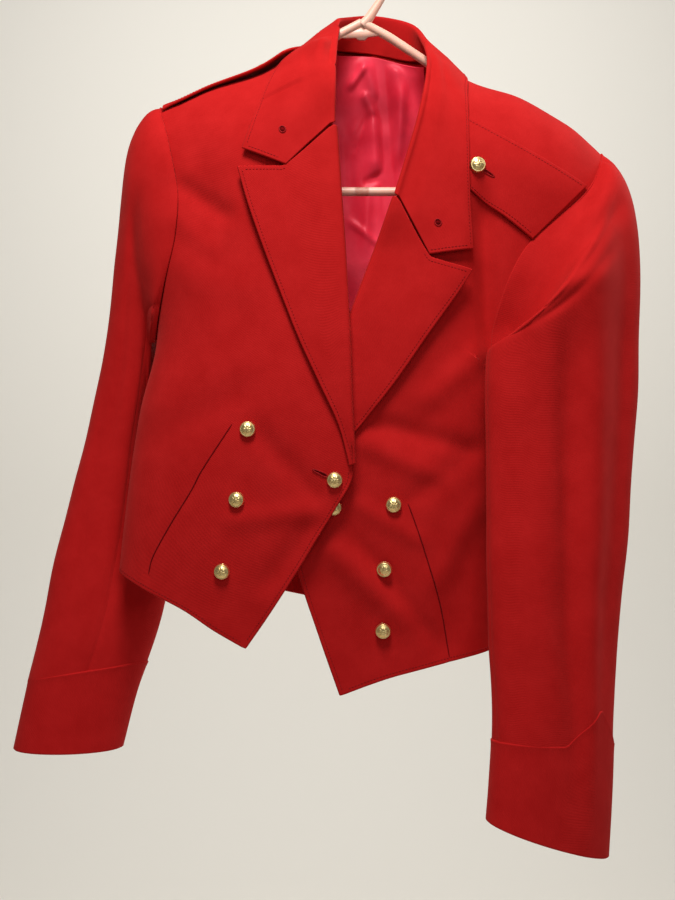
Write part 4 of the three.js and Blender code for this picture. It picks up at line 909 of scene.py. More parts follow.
def on_front(side: Side, x: Array, z: Array, lift: float) -> tuple[Array, Array]:
    """Points above the middle surface of a front as it hangs, and its normals.

    Args:
        side: which front.
        x: places across.
        z: heights.
        lift: height above the surface.

    Returns:
        The points and the normals.
    """
    face = HALVES[side].face
    normal = outward(face, x, z, -np.ones_like(x))
    points = stack(x, face(x, z), z)
    rise = ripple(points, FRONT_SWELL, 0.5, 90) + lift
    return points + normal * rise[..., None], normal


def panel(v: Array, u: Array, inner: Array, outer: Array, top: Array, bottom: Array,
          face: Surface) -> Grid:
    """A panel on a face between four curves in front view: straight rows, bowed by the top and bottom.

    Args:
        v: share down each row.
        u: share across each column.
        inner: x and z of the inner border by row.
        outer: x and z of the outer border by row.
        top: x and z of the top border by column.
        bottom: x and z of the bottom border by column.
        face: y over x and z.

    Returns:
        Its middle surface.
    """
    uu, vv = u[None, :, None], v[:, None, None]
    ruled = mix(inner[:, None], outer[:, None], uu)
    top_bow = top - mix(inner[0], outer[0], u[:, None])
    end_bow = bottom - mix(inner[-1], outer[-1], u[:, None])
    x, z = np.moveaxis(ruled + (1 - vv) * top_bow[None] + vv * end_bow[None], -1, 0)
    return Grid(stack(x, face(x, z), z))


@dataclass
class BodyPanels:
    """Fronts, side bodies and backs."""

    finishes: Finishes
    arm_share: float = 8 / 19
    grids: dict[str, Grid] = field(default_factory=dict)

    def front(self, half: BodyHalf) -> Grid:
        """A front between its edge, shoulder, armhole and side seam, and hem."""
        v = np.linspace(0, 1, 141)
        f = np.clip(v / self.arm_share, 0, 1)
        g = np.clip((v - self.arm_share) / (1 - self.arm_share), 0, 1)
        low = v > self.arm_share
        outer_z = np.where(low, mix(half.arm_z, half.side_hem_z, g), half.arm_height(np.pi * f))
        inner_z = np.where(low, mix(half.inner_arm_z, half.edge_end_z, g),
                           mix(half.neck_z, half.inner_arm_z, 1 - np.cos(np.pi * f / 2)))
        outer_x = np.where(low, half.outline(outer_z), half.arm_front(outer_z))
        s = np.linspace(0, 1, 57)
        u = mix(np.sin(np.pi * s / 2), s, 0.3)
        inner, outer = stack(half.edge(inner_z), inner_z), stack(outer_x, outer_z)
        top_x = mix(half.neck_x, half.tip_x, u)
        bottom_x = mix(inner[-1, 0], outer[-1, 0], u)
        return panel(v, u, inner, outer, stack(top_x, TORSO.ridge(top_x)),
                     stack(bottom_x, half.hem(bottom_x)), half.face)

    def back(self, half: BodyHalf) -> Grid:
        """A back between the centre seam, neck and shoulder, armhole and back seam, and hem."""
        share = 5 / 16
        v = np.linspace(0, 1, 131)
        f = np.clip(v / share, 0, 1)
        g = np.clip((v - share) / (1 - share), 0, 1)
        low = v > share
        outer_z = np.where(low, mix(half.seam_top_z, half.seam_hem_z, g),
                           half.arm_height(f * half.seam_turn()))
        outer_x = np.where(low, half.seam(outer_z), half.arm_back(outer_z))
        neck_z = float(NECK_BACK(NECK_X))
        yoke = mix(neck_z, CENTRE_HEM, 0.36)
        centre_z = np.where(low, mix(yoke, CENTRE_HEM, g), mix(neck_z, yoke, 1 - np.cos(f * np.pi / 2)))
        s = np.linspace(0, 1, 61)
        width = half.tip_x - NECK_X
        u = mix(np.sin(np.pi * s / 2), s, 0.3)
        top_x = NECK_X + u * width
        on_neck = np.abs(top_x - NECK_X) < abs(half.neck_x - NECK_X)
        top_z = np.where(on_neck, NECK_BACK(top_x), TORSO.ridge(top_x))
        inner, outer = stack(CENTRE_BACK(centre_z), centre_z), stack(outer_x, outer_z)
        bottom_x = mix(inner[-1, 0], outer[-1, 0], u)
        return panel(v, u, inner, outer, stack(top_x, top_z), stack(bottom_x, HEM_BACK(bottom_x)),
                     TORSO.back)

    def side(self, half: BodyHalf) -> Grid:
        """A side body between the back seam, armhole, side seam and hem."""
        v = np.linspace(0, 1, 81)
        u = np.sin(np.linspace(0, 1, 25) * np.pi / 2)
        turns = mix(half.seam_turn(), np.pi, np.linspace(0, 1, 25))
        inner_z = mix(half.seam_top_z, half.seam_hem_z, v)
        outer_z = mix(half.arm_z, half.side_hem_z, v)
        inner, outer = stack(half.seam(inner_z), inner_z), stack(half.outline(outer_z), outer_z)
        outer[0, 0] = half.arm_x
        top_z = half.arm_height(turns)
        bottom_x = mix(inner[-1, 0], outer[-1, 0], u)
        return panel(v, u, inner, outer, stack(half.arm_back(top_z), top_z),
                     stack(bottom_x, HEM_BACK(bottom_x)), TORSO.back)

    def along_dart(self, side: Side, points: Array) -> Array:
        """How near points are to their front's dart: a bell across its line, within its heights."""
        at = DARTS[side]
        first, last = at.rows[0][0], at.rows[-1][0]
        z = points[..., 2]
        within = ease((first + 10 - z) / 8) * ease((z - last + 12) / 8)
        return within * np.exp(-(((points[..., 0] - at(z)) / 3.4) ** 2))

    def build(self) -> None:
        """Makes the six panels."""
        for side, half in HALVES.items():
            made = {"front": self.front(half), "back": self.back(half), "side": self.side(half)}
            for part, grid in made.items():
                name = f"{part}_{side.value}"
                grid = grid.facing(stack(TORSO_X, 0.0, grid.points[..., 2]))
                swell = FRONT_SWELL if part == "front" else BACK_SWELL
                grid = grid.moved(ripple(grid.points, swell, 0.5, 90))
                if part == "front":
                    grid = grid.moved(DART_DIP * self.along_dart(side, grid.points))
                else:
                    seams = [Border.FIRST, Border.LAST]
                    grid = grid.pressed([Border.TOP] + seams if part == "side" else seams, SEAM_DIP, 2.2)
                self.grids[name] = grid
                cloth(f"{name}_cloth", name, grid, CLOTH, ["hanger"], "scarlet_wool",
                      self.finishes.wool, self.finishes.satin, facing=32)


# Sleeves

SLEEVE_ROWS = {
    Side.RIGHT: ((-198, 0, -148, -201, 0, -371, 50, 54), (-213, 3, -153, -202, 12, -376, 48, 58),
                 (-229, 5, -184, -201, 26, -386, 46, 60), (-237, 8, -232, -200, 40, -404, 42, 56),
                 (-243, 10, -290, -199, 50, -434, 36, 50), (-252, 12, -367, -199, 58, -468, 30, 46),
                 (-264, 14, -430, -198, 62, -500, 26, 42), (-282, 16, -505, -198, 66, -545, 26, 40),
                 (-303, 18, -584, -200, 66, -600, 30, 38), (-321, 22, -660, -211, 62, -658, 34, 36),
                 (-335.5, 26, -720, -230, 56, -714, 34, 34), (-347, 30, -769, -244, 52, -770, 34, 34)),
    Side.LEFT: ((225, 0, -193, 152, 0, -425, 60, 50), (236, -6, -207, 134, -46, -412, 66, 54),
                (249, -12, -243, 116, -68, -392, 62, 52), (254, -16, -300, 110, -75, -382, 54, 44),
                (253.5, -18, -360, 107.5, -79, -398, 46, 34), (250.5, -20, -430, 107.5, -80, -446, 42, 28),
                (246, -22, -503, 108, -80, -510, 40, 28), (239.5, -24, -580, 109, -82, -583, 38, 30),
                (232, -26, -645, 111, -82, -650, 36, 32), (228.5, -28, -710, 115, -82, -715, 34, 34),
                (226.5, -30, -780, 112, -80, -778, 34, 34), (223, -32, -853, 109, -78, -812, 34, 34)),
}


@dataclass(frozen=True)
class SleeveFold:
    """A trough or ridge on a sleeve, between two places given as share of length and angle."""

    share1: float
    turn1: float
    share2: float
    turn2: float
    width: float
    height: float

    def __call__(self, share: Array, turn: Array) -> Array:
        """Height at a place: a bell across the line on the sleeve laid flat, eased past its ends."""
        length, round_ = 640.0, 52.0
        near = turn + 2 * np.pi * np.round(((self.turn1 + self.turn2) / 2 - turn) / (2 * np.pi))
        dx, dt = (self.share2 - self.share1) * length, (self.turn2 - self.turn1) * round_
        x, t = (share - self.share1) * length, (near - self.turn1) * round_
        size = np.hypot(dx, dt)
        along = (x * dx + t * dt) / size**2
        across = (x * dt - t * dx) / size
        end = ease((along + 0.3) / 0.5) * ease((1.3 - along) / 0.5)
        return self.height * end * np.exp(-((across / self.width) ** 2))


@dataclass
class Sleeves:
    """Two-piece sleeves and their cuffs."""

    finishes: Finishes
    # Turn of each sleeve between its head and 0.6 of its length
    twist: dict[Side, float] = field(default_factory=lambda: {Side.RIGHT: 0.9, Side.LEFT: 0.0})
    # Broad swells: share of length, angle, reach along and round, and height
    broad: dict[Side, tuple[tuple[float, float, float, float, float], ...]] = field(default_factory=lambda: {
        Side.RIGHT: ((0.22, 1.3, 0.10, 0.35, -6), (0.44, 1.9, 0.20, 0.30, -7), (0.58, 1.2, 0.16, 0.28, 4),
                     (0.50, 4.6, 0.12, 0.5, -7), (0.34, 5.3, 0.10, 0.4, 5)),
        Side.LEFT: ((0.17, 1.6, 0.06, 0.7, -7), (0.30, 1.9, 0.12, 0.5, 5), (0.40, 0.85, 0.26, 0.22, -5),
                    (0.55, 1.75, 0.26, 0.22, -4), (0.62, 1.2, 0.20, 0.22, 4), (0.46, 4.7, 0.12, 0.5, -7)),
    })
    folds: dict[Side, tuple[SleeveFold, ...]] = field(default_factory=lambda: {
        Side.RIGHT: (
            SleeveFold(0.20, 1.2, 0.55, 0.9, 7, -1.6), SleeveFold(0.30, 1.7, 0.62, 1.5, 8, 1.8),
            SleeveFold(0.55, 0.5, 0.80, 0.9, 7, -1.4), SleeveFold(0.15, 4.2, 0.35, 5.0, 9, -2.6),
            SleeveFold(0.40, 4.4, 0.60, 5.4, 10, 2.4), SleeveFold(0.55, 4.0, 0.72, 5.0, 8, -2.2),
        ),
        Side.LEFT: (
            SleeveFold(0.05, 1.85, 0.17, 0.85, 17, -5.0), SleeveFold(0.14, 2.2, 0.26, 1.5, 12, 3.5),
            SleeveFold(0.30, 1.9, 0.86, 1.55, 8, -3.6), SleeveFold(0.34, 1.5, 0.88, 1.25, 8, 3.0),
            SleeveFold(0.18, 1.0, 0.72, 1.08, 13, -7.0), SleeveFold(0.22, 2.3, 0.14, 1.2, 11, 2.4),
            SleeveFold(0.28, 2.2, 0.22, 1.2, 9, -2.0), SleeveFold(0.60, 2.3, 0.80, 1.9, 8, 2.2),
            SleeveFold(0.40, 4.2, 0.60, 5.2, 10, -2.6), SleeveFold(0.55, 4.0, 0.75, 5.2, 9, 2.4),
        ),
    })
    seams: dict[Side, tuple[float, float]] = field(default_factory=lambda: {
        Side.RIGHT: (0.75 * np.pi, 2 * np.pi - 0.6 * RIGHT.seam_turn()), Side.LEFT: (np.pi, np.pi / 8)})
    # The cuff's upper edge: share of length, height of its point as such a share, and its angle
    cuff_point: dict[Side, tuple[float, float, float]] = field(default_factory=lambda: {
        Side.RIGHT: (0.872, 0.0, 4.7), Side.LEFT: (0.860, 0.045, 1.08)})
    # Lap over the body at the armhole, and clear space beside, next to and between the walls
    lap: float = CLOTH + 0.6
    clear: float = 4.2
    aside: float = 6.0
    hollow: float = 12.0
    parting: dict[Side, float] = field(default_factory=lambda: {Side.RIGHT: 0.7, Side.LEFT: 0.45})

    def column(self, side: Side, k: int, share: Array) -> Array:
        """One column of the sleeve's table as a smooth curve of the share of its length."""
        rows = SLEEVE_ROWS[side]
        return Curve(tuple((i / (len(rows) - 1), row[k]) for i, row in enumerate(rows)))(share)

    def section(self, side: Side, share: Array, turn: Array) -> Array:
        """A point of the sleeve: its section spans from the outer to the inner line, with its own
        depth in front and behind, and the folds change that depth."""
        share, turn = np.broadcast_arrays(share, turn)
        outer = stack(*(self.column(side, k, share) for k in (0, 1, 2)))
        inner = stack(*(self.column(side, k, share) for k in (3, 4, 5)))
        middle, half = (outer + inner) / 2, (outer - inner) / 2
        along = unit(half)
        forward = unit(np.array([0.0, -1.0, 0.0]) + along * along[..., 1:2])
        round_turn = turn % (2 * np.pi)
        depth = np.where(round_turn < np.pi, self.column(side, 6, share), self.column(side, 7, share))
        for at, place, long, wide, height in self.broad[side]:
            away = np.hypot((share - at) / long, (round_turn - place) / wide)
            depth = depth + height * np.exp(-away * away)
        for fold in self.folds[side]:
            depth = depth + fold(share, turn)
        return middle + half * np.cos(turn)[..., None] + forward * (depth * np.sin(turn))[..., None]

    def clear_of_body(self, side: Side, p: Array, turn: Array, share: Array) -> Array:
        """Moves points out of the body's cloth: first away from the middle of the torso's section,
        then in depth. The wall turned away from the body also stays clear of the other wall."""
        half = HALVES[side]
        z = p[..., 2]
        round_turn = turn % (2 * np.pi)
        facing = 2 * np.pi - round_turn if side is Side.RIGHT else round_turn
        away = np.where(facing < np.pi, self.hollow * np.sin(facing), 0)
        hem = ease((z - (half.side_hem_z - 40)) / 30)
        low = ease((mix(half.tip_z, half.arm_z, 0.7) - z) / 40)
        apart = ease((mix(half.tip_z, half.arm_z, self.parting[side]) - z) / 40) * ease(share / 0.07)
        left, right = TORSO.left(z), TORSO.right(z)
        middle = (left + right) / 2
        across = (right - left) / 2 + self.aside + away
        deep = np.where(p[..., 1] > 0, TORSO.back_depth(z), TORSO.front_depth(z)) + self.clear + away
        size = (np.abs((p[..., 0] - middle) / across) ** SQUARENESS
                + np.abs(p[..., 1] / deep) ** SQUARENESS) ** (1 / SQUARENESS)
        scale = 1 + low * hem * above(1 / np.maximum(size, 0.2) - 1, 0.03)
        x = middle + (p[..., 0] - middle) * scale
        y = p[..., 1] * scale
        behind = y > 0
        surface = np.where(behind, TORSO.back(x, z), -half.face(x, z))
        arm_x = np.where(behind, half.arm_back(z), half.arm_front(z))
        limit = np.where(z < half.arm_z, half.outline(z), arm_x)
        inside = (x - limit) * (1 if side is Side.RIGHT else -1)
        far = ease((np.abs(y) / np.maximum(surface, 1e-3) - 0.4) / 0.2)
        reach = ease(inside / 3) * mix(1, far, low)
        push = above((surface + self.clear + away * apart) * reach - np.abs(y), 5.0) * hem * reach
        return stack(x, y + np.where(behind, push, -push), z)

    def start(self, side: Side, turn: Array) -> Array:
        """The loop where the sleeve starts, lapped over the body's cloth round the armhole."""
        half = HALVES[side]
        round_turn = turn % (2 * np.pi)
        t = np.minimum(round_turn, 2 * np.pi - round_turn)
        z = half.arm_height(t)
        ahead = round_turn <= np.pi
        x = np.where(ahead, half.arm_front(z), half.arm_back(z))
        y = np.where(ahead, half.face(x, z), TORSO.back(x, z))
        sign = np.sign(half.tip_x)
        n = np.where(ahead[:, None], outward(half.face, x, z, -np.ones_like(x)),
                     outward(TORSO.back, x, z, np.ones_like(x)))
        n = unit(mix(unit(np.array([0.5 * sign, 0, 1])), n, ease(t / 0.3)[:, None]))
        n = unit(mix(np.array([sign, 0, 0]), n, ease((np.pi - t) / 0.3)[:, None]))
        return stack(x, y, z) + n * self.lap

    def cuff_edge(self, side: Side, turn: Array) -> Array:
        """The cuff's upper edge as a share of the sleeve's length, with its point."""
        share, point, place = self.cuff_point[side]
        away = np.abs((turn - place + 3 * np.pi) % (2 * np.pi) - np.pi)
        return share - point * np.maximum(0, 1 - away / 0.6) + 0.010 * np.cos(turn)

    def sleeve(self, side: Side, first: float, last: float) -> Grid:
        """A sleeve's cloth between two angles, from the armhole to the cuff. Of its 20 loops, the
        first three ease it off the armhole."""
        loops = 20
        k = np.linspace(0, loops, 131)[:, None]
        turn = np.linspace(first, last, int(abs(last - first) * 60 / 4.2) + 2)
        share = self.cuff_edge(side, turn)[None] * k / loops
        free = np.interp(k, [0, 0.5, 1, 1.5, 2, 2.5, 3], [0, 0.32, 0.6, 0.79, 0.9, 0.97, 1])
        turned = turn[None] - self.twist[side] * ease(share / 0.6)
        rest = self.section(side, share, turned)
        p = mix(np.broadcast_to(self.start(side, turn), rest.shape), rest, free[..., None])
        moved = self.clear_of_body(side, p, turned, share)
        return Grid(np.where(k[..., None] == 0, p, moved))

    def cuff(self, side: Side) -> Grid:
        """A cuff, closed round the arm, a little proud of the sleeve."""
        turn = np.linspace(0, 2 * np.pi, 85)[:-1]
        k = np.linspace(0, 1, 27)[:, None]
        share = mix(self.cuff_edge(side, turn)[None], 1, k)
        return Grid(self.section(side, share, turn[None] - self.twist[side]), closed=True)

    def build(self) -> None:
        """Makes both sleeves and cuffs."""
        for side in Side:
            front, back = self.seams[side]
            spans = {"top_sleeve": (back if side is Side.LEFT else back - 2 * np.pi, front),
                     "under_sleeve": (front, back if side is Side.RIGHT else back + 2 * np.pi)}
            for part, (first, last) in spans.items():
                name = f"{part}_{side.value}"
                grid = self.sleeve(side, first, last)
                axis = self.section(side, np.linspace(0, 0.87, len(grid.points))[:, None],
                                    np.array([0.0, np.pi])).mean(1, keepdims=True)
                grid = grid.facing(axis)
                fade = ease(np.linspace(0, 12, len(grid.points)))[:, None]
                grid = grid.moved(fade * ripple(grid.points, SLEEVE_SWELL, 0.45, 70))
                grid = grid.pressed([Border.FIRST, Border.LAST], -0.8, 2.4)
                grid = grid.pressed([Border.TOP], SEAM_DIP, 3.0)
                cloth(f"{name}_cloth", name, grid, CLOTH, [f"front_{side.value}_cloth"], "scarlet_wool",
                      self.finishes.wool, self.finishes.satin, facing=4, plain=0.4)
            name = f"cuff_{side.value}"
            grid = self.cuff(side)
            grid = grid.facing(grid.points.mean(1, keepdims=True))
            grid = grid.moved(0.5 * np.exp(-grid.depth(Border.TOP) / 3))
            cloth(f"{name}_cloth", name, grid, DOUBLED, [f"top_sleeve_{side.value}_cloth"],
                  "scarlet_wool", self.finishes.wool, self.finishes.satin, facing=26)


# Lapels and collar

@dataclass(frozen=True)
class Lapel:
    """A lapel's roll line, free edge and notched top in front view."""

    side: Side
    sign: float
    roll: Curve
    edge: Curve
    top: Curve
    roll_top: float
    roll_end: float
    edge_top: float


LAPELS = (
    Lapel(Side.RIGHT, -1, Curve(((-176, -30), (-261, -24), (-348, -19), (-450, -14.6), (-487, -13))),
          Curve(((-217, -119), (-253, -108.5), (-294, -94), (-341, -76), (-376, -62), (-415, -44),
                 (-452, -27), (-487, -17.5))),
          Curve(((0, -180), (0.5, -216), (0.62, -217), (1, -217.5))), -180, -487, -217.5),
    Lapel(Side.LEFT, 1, Curve(((-243, 23), (-336, -10.5), (-430, -45.5), (-489, -67.5))),
          Curve(((-312, 93), (-334, 79), (-366, 56), (-412, 24), (-441, 1), (-459, -14), (-478, -36),
                 (-492, -61))),
          Curve(((0, -246), (0.42, -298), (0.55, -303), (1, -312))), -246, -489, -312),
)

# By share of the way round the neck: the fold, the free edge and the seam, each as x, y, z, then
# the bow of the fall's middle in height and its bulge in depth.
COLLAR = (
    (-30, -70.5, -175, -115, -71, -199, -36, -62.5, -175, -27, 0),
    (-30, -62, -131, -102, -61, -160, -43.5, -54, -132, 0, 2),
    (-30, -34, -96, -86, -36, -118, -48, -32, -98, 6, 2),
    (-27, 0, -65, -62, 4, -86, -49.5, 2, -79, 3, 0),
    (-20, 30, -51, -54, 44, -89, -38, 37, -77, 8, 4),
    (7, 56, -39, 7, 70, -96, 7, 56.5, -77, 2, 4),
    (43, 44, -51, 62, 60, -108, 45, 45.5, -87, 6, 4),
    (53, 2, -81, 93, 6, -113, 62.5, 2, -94, 2, 0),
    (55, -39, -112, 91, -56, -150, 60.5, -32, -113, 2, 3),
    (46, -70, -165, 91, -79, -228, 51, -63, -167, 0, 0),
    (23, -77.5, -241, 94, -82, -292, 30, -68.5, -241, -29, 0),
)


@dataclass
class Neckline:
    """Lapels and collar, with their stitching and eyelets."""

    finishes: Finishes
    needle: Needlework

    def lapel(self, lapel: Lapel) -> Grid:
        """A lapel: half a turn round its roll, then out to its edge over the front."""
        face = HALVES[lapel.side].face
        v = np.linspace(0, 1, 91)[:, None]
        roll_z = mix(lapel.roll_top, lapel.roll_end, v)
        edge_z = mix(lapel.edge_top, lapel.roll_end - 1.5, v)
        roll_x, edge_x = lapel.roll(roll_z), lapel.edge(edge_z)
        angle = np.pi * (np.linspace(0.12, 0.88, 9)[None] - 0.5)
        radius = ROLL_RADIUS * mix(1, 0.4, ease((v - 0.86) / 0.14))
        around = stack(roll_x + lapel.sign * radius * (1 - np.cos(angle)),
                       face(roll_x, roll_z) - radius * (1 + np.sin(angle)), roll_z + 0 * angle)
        u = np.linspace(0, 1, 27)[None, 1:]
        bow = (lapel.top(u) - mix(lapel.roll_top, lapel.edge_top, u)) * (1 - v) ** 2
        x = mix(roll_x, edge_x, u) + lapel.sign * radius * (1 - u)
        z = mix(roll_z, edge_z, u) + bow
        gorge = 0.5 * (1 - v) ** 4
        lift = mix(2 * radius - 0.2, mix(9.5, LAPEL_LIFT, v), ease((u - gorge) / (1 - gorge)))
        return Grid(np.concatenate([around, stack(x, face(x, z) - lift, z)], 1))

    def collar(self) -> Grid:
        """The collar: up the stand, half a turn round the fold, and down the fall to its edge."""
        share = np.linspace(0, 1, 181)
        last = len(COLLAR) - 1
        columns = [Curve(tuple((i / last, row[k]) for i, row in enumerate(COLLAR)))(share)
                   for k in range(len(COLLAR[0]))]
        fold, edge, seam = (np.stack(columns[k:k + 3], -1) for k in (0, 3, 6))
        bow, bulge = columns[9], columns[10]
        up = unit(fold - seam)
        out = edge - fold
        out = unit(out - up * (out * up).sum(-1, keepdims=True))
        radius = FOLD_RADIUS
        stand = [mix(seam, fold - up * radius, s) for s in np.linspace(0, 1, 8)[:-1]]
        round_ = [fold + out * radius * (1 - np.cos(a)) + up * radius * (np.sin(a) - 1)
                  for a in np.pi * np.linspace(0.05, 0.95, 9)]
        first = fold + (out * 2 - up) * radius
        fall = []
        for u in np.linspace(0, 1, 25)[1:]:
            p = mix(first, edge, u)
            p[:, 2] += (1 - abs(2 * u - 1)) * bow
            p[:, 0] += (1 - abs(2 * u - 1)) * 0.2 * np.where(share > 0.7, np.minimum(bow, 0), 0)
            p[:, 1] += np.sign(p[:, 1]) * 4 * u * (1 - u) * bulge
            fall.append(mix(p, self.rest_outside(p, share), ease(u / 0.3)))
        return Grid(np.stack(stand + round_ + fall, 1))

    def rest_outside(self, p: Array, share: Array) -> Array:
        """Moves points of the fall out to their place above the body."""
        x, y, z = p[:, 0], p[:, 1], p[:, 2]
        face = np.where(share > 0.5, TORSO.left_front(x, z), TORSO.front(x, z)) - COLLAR_LIFT
        ends = (share < 0.12) | (share > 0.88)
        front = np.where(ends, face, np.minimum(y, face))
        back = np.maximum(y, TORSO.back(x, z) + 5)
        weight_f, weight_b = ease((-y - 14) / 16), ease((y - 14) / 16)
        return stack(x, y + (front - y) * weight_f + (back - y) * weight_b, z)

    def build(self) -> None:
        """Makes the lapels, the collar, their topstitching and the eyelets of the leaves."""
        lines = []
        for lapel in LAPELS:
            name = f"lapel_{lapel.side.value}"
            grid = self.lapel(lapel)
            if (grid.normals()[:, 15:, 1]).mean() > 0:
                grid = Grid(grid.points[::-1].copy())
            grid = grid.moved(ripple(grid.points, LAPEL_SWELL, 0.3, 60))
            cloth(f"{name}_cloth", name, grid, CLOTH, [f"front_{lapel.side.value}_cloth"],
                  "scarlet_wool", self.finishes.wool)
            lines.append(grid.line(Border.LAST, EDGE_STITCH, 3, 3))
            top = Border.TOP if grid.points[0, -1, 2] > grid.points[-1, -1, 2] else Border.BOTTOM
            lines.append(grid.line(top, EDGE_STITCH, 62, EDGE_STITCH))
        grid = self.collar()
        if (grid.normals()[:, -8:] * grid.points[:, -8:])[..., :2].sum() < 0:
            grid = Grid(grid.points[::-1].copy())
        grid = grid.moved(ripple(grid.points, COLLAR_SWELL, 0.25, 60))
        cloth("collar_cloth", "collar", grid, CLOTH, ["front_right_cloth", "front_left_cloth",
                                                      "back_right_cloth", "back_left_cloth"],
              "scarlet_wool", self.finishes.wool)
        lines.append(grid.line(Border.LAST, EDGE_STITCH, EDGE_STITCH, EDGE_STITCH))
        for border in (Border.TOP, Border.BOTTOM):
            lines.append(grid.line(border, EDGE_STITCH, 74, EDGE_STITCH))
        self.needle.topstitch("topstitch_neck", lines, CLOTH / 2)
        for side, x, z in ((Side.RIGHT, -77.5, -182.5), (Side.LEFT, 63.5, -267)):
            point, normal = grid.nearest(x, z)
            self.needle.hole(f"eyelet_{side.value}", point + normal * CLOTH / 2, normal,
                             np.array([0.5, 0, -0.6]), 6.4, 5.4, 5.6)


# Straps, lining, buttons, hanger

@dataclass
class Straps:
    """The shoulder straps with their stitching and buttonhole."""

    finishes: Finishes
    needle: Needlework
    point: float = 16.0

    def left(self) -> Grid:
        """The left strap, on the front slope of the shoulder, pointed at the neck."""
        u = np.linspace(0, 1, 41)[None]
        v = np.linspace(0, 1, 21)[:, None]
        point = self.point * (1 - np.abs(2 * v - 1))
        x = mix(mix(82, 81, v) - point, mix(202, 150, v), u)
        z = mix(mix(-165, -229, v) + point * 0.4, mix(-230, -281, v), u)
        return Grid(stack(x, TORSO.front(x, z) - STRAP_LIFT, z))

    def right(self) -> Grid:
        """The right strap, over the shoulder ridge."""
        u = np.linspace(0, 1, 41)[None]
        v = np.linspace(0, 1, 25)[:, None]
        point = self.point * (1 - np.abs(2 * v - 1))
        x = mix(-80 + point, -195, u)
        y = mix(mix(-28, 27, v), mix(-15, 34, v), u)
        lift = mix(4.6, 2.8, u)
        return Grid(stack(x, y, TORSO.shoulder_top(x, y * mix(0.5, 0.9, u**3)) + lift))

    def build(self) -> None:
        """Makes both straps and what is sewn on them."""
        lines = []
        grids = {Side.LEFT: self.left(), Side.RIGHT: self.right()}
        for side, grid in grids.items():
            name = f"shoulder_strap_{side.value}"
            grid = grids[side] = grid.facing(np.array([0.0, 0.0, -400.0]))
            cloth(f"{name}_cloth", name, grid, DOUBLED, [f"front_{side.value}_cloth"], "scarlet_wool",
                  self.finishes.wool)
            pointed = Border.FIRST if abs(grid.points[0, -1, 0]) > abs(grid.points[0, 0, 0]) else Border.LAST
            lines += [grid.line(border, EDGE_STITCH, 3, 3) for border in Border
                      if border in (Border.TOP, Border.BOTTOM, pointed)]
        self.needle.topstitch("topstitch_straps", lines, DOUBLED / 2)
        # Dark strips under both edges of the left strap: painted contact shadow
        edges = [grids[Side.LEFT].line(border, 0.0, 1, 1) for border in (Border.TOP, Border.BOTTOM)]
        self.needle.welt("strap_edge_shadow", edges, -1.7, 1.0)
        point, normal = grids[Side.LEFT].nearest(111, -223.5)
        self.needle.hole("strap_hole_left", point + normal * DOUBLED / 2, normal,
                         np.array([-0.8, 0, 0.5]), 11, 2.4, 3.6)


@dataclass
class BackLining:
    """The satin lining that shows in the neck, with its large soft folds."""

    finishes: Finishes
    behind: float = 4.6
    folds: tuple[Fold, ...] = (
        Fold(14, -90, 26, -250, 7, -5.0), Fold(-4, -80, 12, -120, 6, 3.0),
        Fold(30, -88, 34, -150, 7, 4.0), Fold(-16, -110, -2, -92, 3.5, 4.0),
        Fold(-2, -118, 8, -136, 4.5, 4.0), Fold(8, -140, 10, -190, 8, 5.5),
        Fold(-12, -170, 2, -140, 4, -3.0), Fold(38, -110, 32, -180, 5, 3.5),
        Fold(-20, -150, -16, -230, 7, -2.5), Fold(0, -205, 16, -198, 4, -3.5),
        Fold(2, -215, 0, -270, 5, 2.5), Fold(-14, -245, 14, -268, 3, 2.5),
    )

    def build(self) -> None:
        """Makes the lining."""
        u = np.linspace(0, 1, 71)[None]
        v = np.linspace(0, 1, 111)[:, None]
        x = mix(mix(-38, -84, v), mix(57, 84, v), u)
        z = mix(NECK_BACK(x) - 3, -335, v)
        rise = np.maximum(sum(fold(x, z) for fold in self.folds) + 2, 0) * ease(v / 0.05 + 0.15)
        grid = Grid(stack(x, TORSO.back(x, z) - self.behind - rise, z))
        if grid.normals()[..., 1].mean() > 0:
            grid = Grid(grid.points[:, ::-1].copy())
        cloth("back_lining_cloth", "lining_back", grid, LINING, ["back_right_cloth", "back_left_cloth"],
              "satin_lining", self.finishes.satin)


